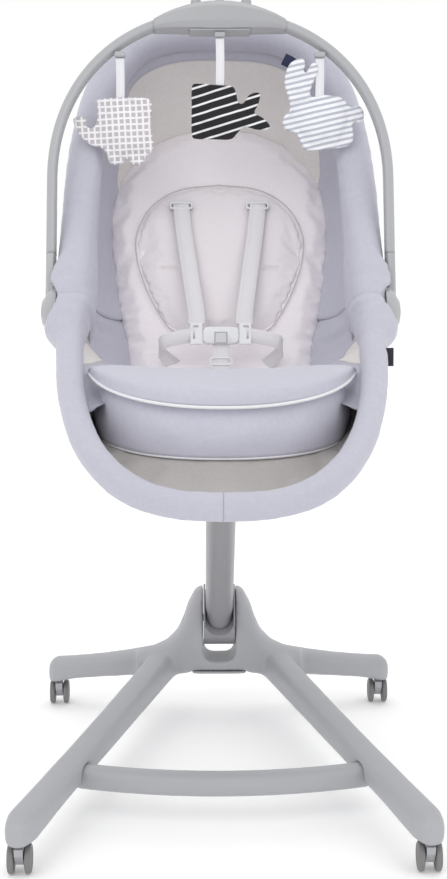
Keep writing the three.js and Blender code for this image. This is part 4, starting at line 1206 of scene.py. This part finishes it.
class BUILD_OT_seat_cushion(bpy.types.Operator):
    """Seat cushion's lip, which wraps over the front of the pan, and its white piping"""

    bl_idname = "bouncer.seat_cushion"
    bl_label = "Seat cushion"

    def execute(self, context):
        colours = cloth_of(context)
        jersey = woven("Lip jersey", tuple(1.06 * c for c in colours.rim), JERSEY_THREADS, 0.2)
        piping = woven("White piping", colours.piping, FINE_THREADS)
        rings, hem = [], []
        for k in range(121):
            t = math.sin((k / 120 - 0.5) * math.pi)
            x = 0.1885 * t
            close = max(0.06, math.sqrt(max(0.0, 1 - abs(t) ** 9)))
            front_y, front_z = self.front(x)
            rear_y = -0.128 - 0.022 * (1 - t * t)
            rear_z = -0.0555 - 0.0085 * (1 - t * t)
            middle = Vector((x, (front_y + rear_y) / 2, (front_z + rear_z) / 2 - 0.004))
            crest = Vector((x, between(front_y, rear_y, 0.55), rear_z - 0.001))
            drop = Vector((x, between(front_y, rear_y, 0.1), between(front_z, rear_z, 0.72)))
            outline = [
                Vector((x, rear_y, rear_z - 0.017)), Vector((x, rear_y + 0.004, rear_z - 0.007)),
                Vector((x, rear_y - 0.003, rear_z)), crest, drop, Vector((x, front_y, front_z + 0.006)),
                Vector((x, front_y - 0.001, front_z)), Vector((x, front_y + 0.006, front_z - 0.002)),
                Vector((x, between(front_y, rear_y, 0.3), between(front_z, rear_z, 0.35) - 0.006)),
            ]
            ring = []
            for p in looped(outline, 40):
                p = middle + (p - middle) * close
                soft = ripple(p, 0.055, 3) * 0.0012
                dent = ripple(Vector((p.x, 0, 0)), 0.018, 6) * 0.0010 * eased((rear_z - p.z - 0.012) / 0.02)
                ring.append(p + Vector((0, -0.6, 0.8)) * (soft + dent))
            rings.append(ring)
            if abs(t) < 0.993:
                corner = outline[6] + Vector((0, -0.001, -0.0005)) - middle
                hem.append(SEAT @ (middle + corner * close))
        lip = loft("seat_lip", rings, jersey, transform=SEAT)
        placed(lip, "seat", "pad_fabric", "seat_pad")
        placed(bead("seat_lip_piping", even(hem, 150), 0.0023, piping), "seat", "pad_fabric")
        return {"FINISHED"}

    def front(self, x):
        """Front edge of the lip at X, relative to the hub."""
        grow = 0.0185
        cosine = min(1.0, abs(x) / (0.170 + grow)) ** (1 / 0.9)
        y = -0.080 - (0.177 + grow) * (1 - cosine * cosine) ** 0.45
        return min(y, -0.115), -0.099 + 0.019 * (abs(x) / 0.187) ** 2.2


INSERT_EDGE = (
    (0, 0.279), (0.062, 0.270), (0.106, 0.240), (0.129, 0.192), (0.1285, 0.146),
    (0.117, 0.102), (0.102, 0.066), (0.089, 0.042), (0.078, 0.025), (0.066, 0.017),
)
INSERT_BACK = -0.1045
INSERT_FACE = -0.0985


def insert_outline(count, grow=0.0):
    right = flowing([(x, y, 0) for x, y in INSERT_EDGE], 60)
    loop = right + mirrored(right)[:-1]
    middle = Vector((0, 0.165, 0))
    return even([p + (p - middle).normalized() * grow for p in loop] + [loop[0]], count + 1)[:-1]


class BUILD_OT_back_cushions(bpy.types.Operator):
    """Back cushion, the pear-shaped insert on it, its piping and the harness slots"""

    bl_idname = "bouncer.back_cushions"
    bl_label = "Back cushions"

    def execute(self, context):
        colours = cloth_of(context)
        jersey = woven("Pad jersey", colours.pad, JERSEY_THREADS, 0.2, 0.9)
        self.back_pad(jersey, colours)
        greyer = tuple(0.88 * c for c in colours.pad)
        self.insert(woven("Insert jersey", greyer, JERSEY_THREADS, 0.2, 0.92), colours)
        return {"FINISHED"}

    def back_pad(self, jersey, colours):
        bm = plate_mesh(cushion_edge(180, 0.005), PAD_BACK, PAD_FACE)
        pad = settle("back_cushion", bm, jersey)
        inflated(pad, colours.voxel, colours.swell, held=lambda p: p.z < PAD_BACK + 0.002)
        subdivided(pad)
        baked(pad)
        distance = edge_finder(cushion_edge(700, 0.005))

        def shape(p, n):
            near = 1 - eased(distance(p) / 0.045)
            facing = max(0.0, n.z)
            low = eased((0.20 - p.y) / 0.15)
            pucker = ripple(Vector((p.x * 0.3, p.y * 1.6, 0)), 0.012, 2)
            pucker = pucker * 0.0040 * near * between(0.3, 1, low)
            soft = ripple(Vector((p.x, p.y, 0)), 0.08, 6) * 0.0018
            seat = eased((0.02 - p.y) / 0.09)
            drag = ripple(Vector((p.x * 0.45, p.y * 1.7, 0)), 0.019, 9) * 0.0060 * seat
            p = p + n * facing * (pucker + soft + drag)
            return BACK @ tail_bent(p)

        reshaped(pad, shape)
        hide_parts("back_pad")
        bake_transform(pad)

    def insert(self, jersey, colours):
        bm = plate_mesh(insert_outline(96, -0.002), INSERT_BACK, INSERT_FACE)
        bmesh.ops.transform(bm, matrix=BACK, verts=bm.verts)
        pad = settle("insert_cushion", bm, jersey)
        inverse = BACK.inverted()
        sewn = INSERT_BACK + 0.001
        inflated(pad, colours.voxel * 0.9, 0.0055, 3.0, held=lambda p: (inverse @ p).z < sewn)
        subdivided(pad)
        baked(pad)

        def shape(p, n):
            q = inverse @ p
            top = eased((q.z + 0.101) / 0.004)
            slot = 0.0
            for x, y in ((0.060, 0.236), (0.078, 0.127)):
                wide = abs(abs(q.x) - x)
                slot += math.exp(-(((q.y - y) / 0.003) ** 2)) * (1 - eased((wide - 0.013) / 0.005))
            soft = ripple(Vector((q.x, q.y, 0)), 0.06, 11) * 0.0015
            pull = ripple(Vector((q.x * 1.4, q.y * 0.5, 0)), 0.02, 3) * 0.0012 * eased((0.12 - q.y) / 0.05)
            return p + n * top * (soft + pull - 0.0042 * min(1.0, slot))

        reshaped(pad, shape)
        placed(pad, "backrest", "pad_fabric", "reducer_pad")
        seam = woven("Pad seam", tuple(0.62 * c for c in colours.pad), FINE_THREADS)
        line = [BACK @ (p + Vector((0, 0, -0.0977))) for p in insert_outline(160, 0.0005)]
        ridge = bead("insert_piping", line, 0.0009, seam, closed=True)
        placed(ridge, "backrest", "pad_fabric")


# ---------------------------------------------------------------- harness


BUCKLE_Y = 0.023
BUCKLE_Z = -0.037
STRAP_LIFT = -0.088


class BUILD_OT_harness(bpy.types.Operator):
    """Shoulder, waist and crotch straps, their slides, the clips and the buckle"""

    bl_idname = "bouncer.harness"
    bl_label = "Harness"

    def execute(self, context):
        colours = cloth_of(context)
        web = banded("Harness webbing", colours.webbing, STRAP_WIDTH)
        clip = moulded_plastic("Buckle plastic", (0.70, 0.71, 0.73), 0.34)
        for name, side in SIDES:
            self.shoulder(name, side, web)
            self.waist(name, side, web)
            refined("strap_slide_" + name, clip, "buckle_plastic", 0.0007, 2)
            refined("buckle_tongue_" + name, clip, "buckle_plastic", 0.0014, 3)
        refined("buckle_body", clip, "buckle_plastic", 0.002, 3)
        button = moulded_plastic("Buckle button", (0.55, 0.56, 0.58), 0.4)
        refined("buckle_button", button, "panel_plastic", 0.001, 3)
        self.crotch(web, clip)
        return {"FINISHED"}

    def shoulder(self, name, side, web):
        lift = STRAP_LIFT
        points = [
            (side * 0.061, 0.2405, lift - 0.006), (side * 0.0605, 0.2355, lift + 0.0035),
            (side * 0.059, 0.218, lift + 0.0035), (side * 0.055, 0.180, lift + 0.004),
            (side * 0.046, 0.110, lift + 0.009), (side * 0.037, 0.038, lift + 0.018),
            (side * 0.0365, 0.012, lift + 0.0255),
        ]
        line = flowing(points, 60)
        lean = Vector((1, side * -0.12, 0)).normalized()
        strap_name = "shoulder_strap_cloth_" + name
        strap = tape(strap_name, line, lambda t: lean, STRAP_WIDTH, STRAP_THICKNESS, web, BACK)
        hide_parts("shoulder_strap_" + name)
        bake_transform(strap)

    def waist(self, name, side, web):
        y, z = BUCKLE_Y, BUCKLE_Z
        start = 0.0405
        points = [
            (side * (start - 0.004), y + 0.002, z + 0.001), (side * (start + 0.006), y - 0.001, z),
            (side * (start + 0.022), y - 0.006, z - 0.002), (side * (start + 0.045), y - 0.004, z - 0.009),
            (side * (start + 0.051), y + 0.010, z - 0.022), (side * (start + 0.040), y + 0.022, z - 0.036),
            (side * (start + 0.022), y + 0.034, z - 0.052),
        ]
        line = flowing(points, 64)
        strap_name = "waist_strap_cloth_" + name
        strap = tape(strap_name, line, lambda t: Vector((0, 0.35 * t, 1)), 0.021, STRAP_THICKNESS, web, SEAT)
        placed(strap, "seat", "webbing", "waist_strap_" + name)

    def crotch(self, web, clip):
        y, z = BUCKLE_Y, BUCKLE_Z
        points = [
            (0, y + 0.001, z - 0.010), (0, y - 0.004, z - 0.0155), (0, y - 0.010, z - 0.026),
            (0, y - 0.016, z - 0.040), (0, y - 0.022, z - 0.055), (0, y - 0.024, z - 0.064),
        ]
        line = flowing(points, 36)
        sideways = Vector((1, 0, 0))
        strap = tape("crotch_strap_cloth", line, lambda t: sideways, STRAP_WIDTH, STRAP_THICKNESS, web, SEAT)
        placed(strap, "seat", "webbing", "crotch_strap")
        frame_points = [Vector((x, 0, y)) for x, y in rounded(0.0158, 0.0052, 5, 24)]
        for name, side in SIDES:
            top = BACK @ Matrix.Translation((side * 0.0600, 0.2335, -0.0845))
            ring = [top @ Vector((a, b, 0)) for a, b in rounded(0.0168, 0.0052, 5, 24)]
            slide = bead("shoulder_slide_" + name, ring, 0.0018, clip, closed=True)
            placed(slide, "backrest", "buckle_plastic")
        lean = Matrix.Rotation(math.radians(-24), 4, "X")
        place = SEAT @ Matrix.Translation((0, y - 0.0165, z - 0.036)) @ lean
        slide = bead("crotch_slide", [place @ p for p in frame_points], 0.0015, clip, closed=True)
        placed(slide, "seat", "buckle_plastic")


# ---------------------------------------------------------------- toy bar


ARCH_HALF = 0.250
ARCH_SPRING = 0.200
ARCH_RISE = 0.258
ARCH_ROUNDNESS = 2.15


def arch_line(start, count):
    """Centre line of the arch from its right foot to its left, in the bar's frame."""
    leg = [Vector((-ARCH_HALF, 0, between(start, ARCH_SPRING, i / 20))) for i in range(20)]
    bow = []
    for i in range(241):
        a = math.pi - math.pi * i / 240
        x = ARCH_HALF * signed_power(math.cos(a), 2 / ARCH_ROUNDNESS)
        bow.append(Vector((x, 0, ARCH_SPRING + ARCH_RISE * math.sin(a) ** (2 / ARCH_ROUNDNESS))))
    return even(leg + bow + [Vector((-p.x, 0, p.z)) for p in reversed(leg)], count)


class BUILD_OT_toy_bar(bpy.types.Operator):
    """Arch with its groove, end discs, panel, keys and clips"""

    bl_idname = "bouncer.toy_bar"
    bl_label = "Toy bar"

    def execute(self, context):
        sizes = mouldings_of(context)
        plastic = moulded_plastic("Arch plastic", sizes.arch, 0.26, 0.02)
        self.arch(plastic)
        for name, _ in SIDES:
            refined("arch_end_" + name, plastic, "arch_plastic", 0.0022, 3)
        panel = moulded_plastic("Panel plastic", tuple(0.93 * c for c in sizes.arch), 0.34)
        moulding("toy_panel", panel, "panel_plastic", 0.0012, 5)
        refined("panel_lid", panel, "panel_plastic", 0.001)
        for key in ("left", "middle", "right"):
            refined("panel_key_" + key, plastic, "arch_plastic", 0.0018, 3)
        for toy in ("elephant", "fish", "rabbit"):
            refined(toy + "_clip", plastic, "arch_plastic", 0.0018, 3)
        return {"FINISHED"}

    def arch(self, plastic):
        line = arch_line(0.0874, 220)
        rings = []
        for point, ahead in zip(line, tangents(line)):
            across = ahead.cross(Vector((0, 1, 0))).normalized()
            ring = []
            for a, d in rounded(0.0075, 0.0120, 3, 48):
                groove = math.exp(-((a / 0.0012) ** 2)) * 0.0016 if d < 0 else 0.0
                ring.append(point + across * a + Vector((0, d + groove, 0)))
            rings.append(ring)
        arch = loft("toy_arch_moulding", rings, plastic, transform=BAR)
        placed(arch, "toy_bar", "arch_plastic", "toy_arch")


# Outlines of the toys in millimetres, from where the ribbon meets them, with Y up.
ELEPHANT = (
    (0, 0), (28, 0), (42, -3), (44, -14), (42, -42), (46, -69), (42, -83), (34, -88), (32, -97), (21, -101),
    (13, -97), (9, -86), (4, -97), (-10, -100), (-17, -95), (-20, -83), (-27, -75), (-43, -70), (-57, -56),
    (-66, -36), (-64, -29), (-53, -28), (-47, -33), (-51, -39), (-46, -44), (-38, -45), (-33, -35),
    (-32, -17), (-33, -4), (-16, -1),
)
FISH = (
    (0, -2), (18, -4), (23, -14), (26, -29), (34, -28), (40, -17), (53, -12), (57, -17), (53, -33),
    (48, -43), (60, -50), (70, -61), (67, -69), (50, -68), (34, -64), (25, -73), (15, -83), (-8, -83),
    (-35, -82), (-40, -75), (-40, -37), (-39, -3), (-28, 0),
)
RABBIT = (
    (7, 1), (31, -3), (41, -15), (46, -18), (54, -14), (62, -23), (62, -36), (54, -40), (46, -37), (48, -57),
    (46, -71), (34, -77), (10, -80), (-14, -82), (-23, -77), (-28, -64), (-35, -54), (-47, -52), (-52, -40),
    (-49, -30), (-41, -21), (-44, -2), (-49, 16), (-47, 36), (-40, 49), (-28, 55), (-20, 50), (-24, 30),
    (-21, 28), (-12, 47), (-4, 47), (-2, 36), (-9, 19), (-14, 1), (-8, -2),
)
TOY_STRETCH = 1.08
TOYS = (
    ("elephant", "toy_beige", -0.150, 0.057, ELEPHANT),
    ("fish", "toy_black", 0.0, 0.066, FISH),
    ("rabbit", "toy_grey", 0.150, 0.054, RABBIT),
)


class BUILD_OT_toys(bpy.types.Operator):
    """Three stuffed toys on white ribbons"""

    bl_idname = "bouncer.toys"
    bl_label = "Toys"

    def execute(self, context):
        ribbon_cloth = banded("White ribbon", (0.82, 0.82, 0.85), RIBBON_WIDTH)
        beige, black, grey = (0.50, 0.47, 0.49), (0.012, 0.011, 0.014), (0.46, 0.48, 0.54)
        finishes = {
            "elephant": patterned(
                "Elephant check", beige, (0.86, 0.85, 0.87), math.radians(3), 0.0092, 0.24, True
            ),
            "fish": patterned("Fish lines", black, (0.85, 0.85, 0.87), math.radians(107), 0.0128, 0.17),
            "rabbit": patterned("Rabbit stripes", grey, (0.86, 0.86, 0.90), math.radians(103), 0.0082, 0.46),
        }
        # The rabbit's ears stand above its ribbon's end, so all hang from the top of the elephant's box.
        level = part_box("elephant_toy")[1].z
        for name, slot, x, drop, outline in TOYS:
            low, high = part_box(name + "_toy")
            hang = Vector((x, (low.y + high.y) / 2, level if name == "rabbit" else high.z))
            self.body(name, slot, hang, drop, outline, finishes[name])
            self.ribbon(name, hang, drop, ribbon_cloth)
        self.tag()
        return {"FINISHED"}

    def body(self, name, slot, hang, drop, outline, finish):
        loop = looped([(px * TOY_STRETCH / 1000, py / 1000, 0) for px, py in outline], 120)
        bm = plate_mesh(loop, -0.0045, 0.0045)
        stand = Matrix.Translation(hang + Vector((0, 0, -drop))) @ Matrix.Rotation(math.radians(90), 4, "X")
        bmesh.ops.transform(bm, matrix=stand, verts=bm.verts)
        toy = settle(name + "_stuffed", bm, finish)
        distance, flat = edge_finder(even([*loop, loop[0]], 600)), stand.inverted()
        inflated(toy, 0.0028, 0.0085, 9.0, shrink=-0.08, held=lambda p: distance(flat @ p) < 0.0016, rounds=2)
        subdivided(toy)
        placed(toy, name, slot, name + "_toy")

    def ribbon(self, name, hang, drop, cloth):
        bow, foot = Vector((0.0004, -0.0008, -drop * 0.5)), Vector((0, 0, -drop - 0.005))
        line = flowing([hang + Vector((0, 0, 0.0005)), hang + bow, hang + foot], 24)
        ribbon = tape(name + "_ribbon", line, lambda t: Vector((1, 0, 0)), RIBBON_WIDTH, 0.0011, cloth)
        placed(ribbon, name, "webbing")

    def tag(self):
        """Blank cloth tag sewn into the rabbit's ear."""
        cloth = woven("Navy tag", (0.012, 0.018, 0.055), TAG_THREADS)
        low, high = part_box("rabbit_toy")
        middle = Vector((low.x + 0.010, (low.y + high.y) / 2, high.z - 0.010))
        free, sewn = Vector((-0.012, 0, 0.006)), Vector((0.004, -0.001, -0.004))
        line = flowing([middle + free, middle, middle + sewn], 10)
        tag = tape("rabbit_tag", line, lambda t: Vector((0.45, 0, 0.9)).normalized(), 0.018, 0.0012, cloth)
        placed(tag, "rabbit", "toy_grey")


# ---------------------------------------------------------------- studio


CAMERA_PLACE = (-0.032, -2.334, 0.925)
CAMERA_DOWN = 9.81
CAMERA_ASIDE = 0.86


class BUILD_OT_studio(bpy.types.Operator):
    """Pale floor, soft lights and the camera"""

    bl_idname = "bouncer.studio"
    bl_label = "Studio"

    def execute(self, context):
        settings = context.scene.bouncer_studio
        self.floor()
        self.lights(context.scene, settings)
        self.camera(context.scene, settings)
        context.scene.view_settings.view_transform = "Standard"
        context.scene.view_settings.look = "None"
        return {"FINISHED"}

    def floor(self):
        bm = bmesh.new()
        bmesh.ops.create_grid(bm, x_segments=1, y_segments=1, size=12)
        bmesh.ops.translate(bm, verts=bm.verts, vec=(0, 4, -0.0002))
        material, tree, shader = blank("Pale floor")
        tone = mixed(tree, noisy(tree, object_place(tree), 2.0), (0.93, 0.93, 0.93, 1), (0.95, 0.95, 0.95, 1))
        tree.links.new(tone, shader.inputs["Base Color"])
        shader.inputs["Roughness"].default_value = 0.8
        shader.inputs["Emission Color"].default_value = (1, 1, 1, 1)
        shader.inputs["Emission Strength"].default_value = 0.12
        settle("studio_floor", bm, material)

    def lights(self, scene, settings):
        world = bpy.data.worlds.new("Studio")
        scene.world = world
        world.use_nodes = True
        background = world.node_tree.nodes["Background"]
        background.inputs["Color"].default_value = (1.0, 1.0, 1.0, 1)
        background.inputs["Strength"].default_value = settings.sky
        places = (
            ("key", (-1.5, -2.4, 2.9), 2.2, settings.key),
            ("fill", (2.2, -1.6, 1.8), 2.0, settings.key * 0.35),
            ("top", (0.0, 0.4, 3.2), 1.6, settings.key * 0.45),
        )
        for name, place, size, power in places:
            data = bpy.data.lights.new("studio_" + name, "AREA")
            data.size = size
            data.energy = power
            lamp = bpy.data.objects.new("studio_" + name, data)
            lamp.location = place
            lamp.rotation_euler = (Vector((0, 0, 0.7)) - lamp.location).to_track_quat("-Z", "Y").to_euler()
            scene.collection.objects.link(lamp)

    def camera(self, scene, settings):
        data = bpy.data.cameras.new("studio_camera")
        data.lens = settings.lens
        data.sensor_width = 36.0
        camera = bpy.data.objects.new("studio_camera", data)
        camera.location = CAMERA_PLACE
        camera.rotation_euler = (math.radians(90 - CAMERA_DOWN), 0, math.radians(-CAMERA_ASIDE))
        scene.collection.objects.link(camera)
        scene.camera = camera


# ---------------------------------------------------------------- add-on

OPERATORS = (
    BUILD_OT_stand,
    BUILD_OT_casters,
    BUILD_OT_column,
    BUILD_OT_underframe,
    BUILD_OT_rim_cover,
    BUILD_OT_back_wall,
    BUILD_OT_front_cloth,
    BUILD_OT_seat_cushion,
    BUILD_OT_back_cushions,
    BUILD_OT_harness,
    BUILD_OT_toy_bar,
    BUILD_OT_toys,
    BUILD_OT_studio,
)


class BUILD_PT_panel(bpy.types.Panel):
    """Lists the settings and the steps of the build"""

    bl_idname = "BUILD_PT_bouncer"
    bl_label = "Bouncer Seat"
    bl_space_type = "VIEW_3D"
    bl_region_type = "UI"
    bl_category = "Bouncer Seat"

    def draw(self, context):
        for settings in (
            context.scene.bouncer_cloth,
            context.scene.bouncer_mouldings,
            context.scene.bouncer_studio,
        ):
            column = self.layout.column()
            for name in settings.__annotations__:
                column.prop(settings, name)
        for operator in OPERATORS:
            self.layout.operator(operator.bl_idname)


GROUPED = (
    ("bouncer_cloth", BouncerCloth),
    ("bouncer_mouldings", BouncerMouldings),
    ("bouncer_studio", BouncerStudio),
)


def register():
    for name, settings in GROUPED:
        bpy.utils.register_class(settings)
        setattr(bpy.types.Scene, name, bpy.props.PointerProperty(type=settings))
    for operator in OPERATORS:
        bpy.utils.register_class(operator)
    bpy.utils.register_class(BUILD_PT_panel)


def unregister():
    bpy.utils.unregister_class(BUILD_PT_panel)
    for operator in reversed(OPERATORS):
        bpy.utils.unregister_class(operator)
    for name, settings in reversed(GROUPED):
        delattr(bpy.types.Scene, name)
        bpy.utils.unregister_class(settings)


def main():
    register()
    for operator in OPERATORS:
        getattr(bpy.ops.bouncer, operator.bl_idname.split(".")[1])()


if __name__ == "__main__":
    main()
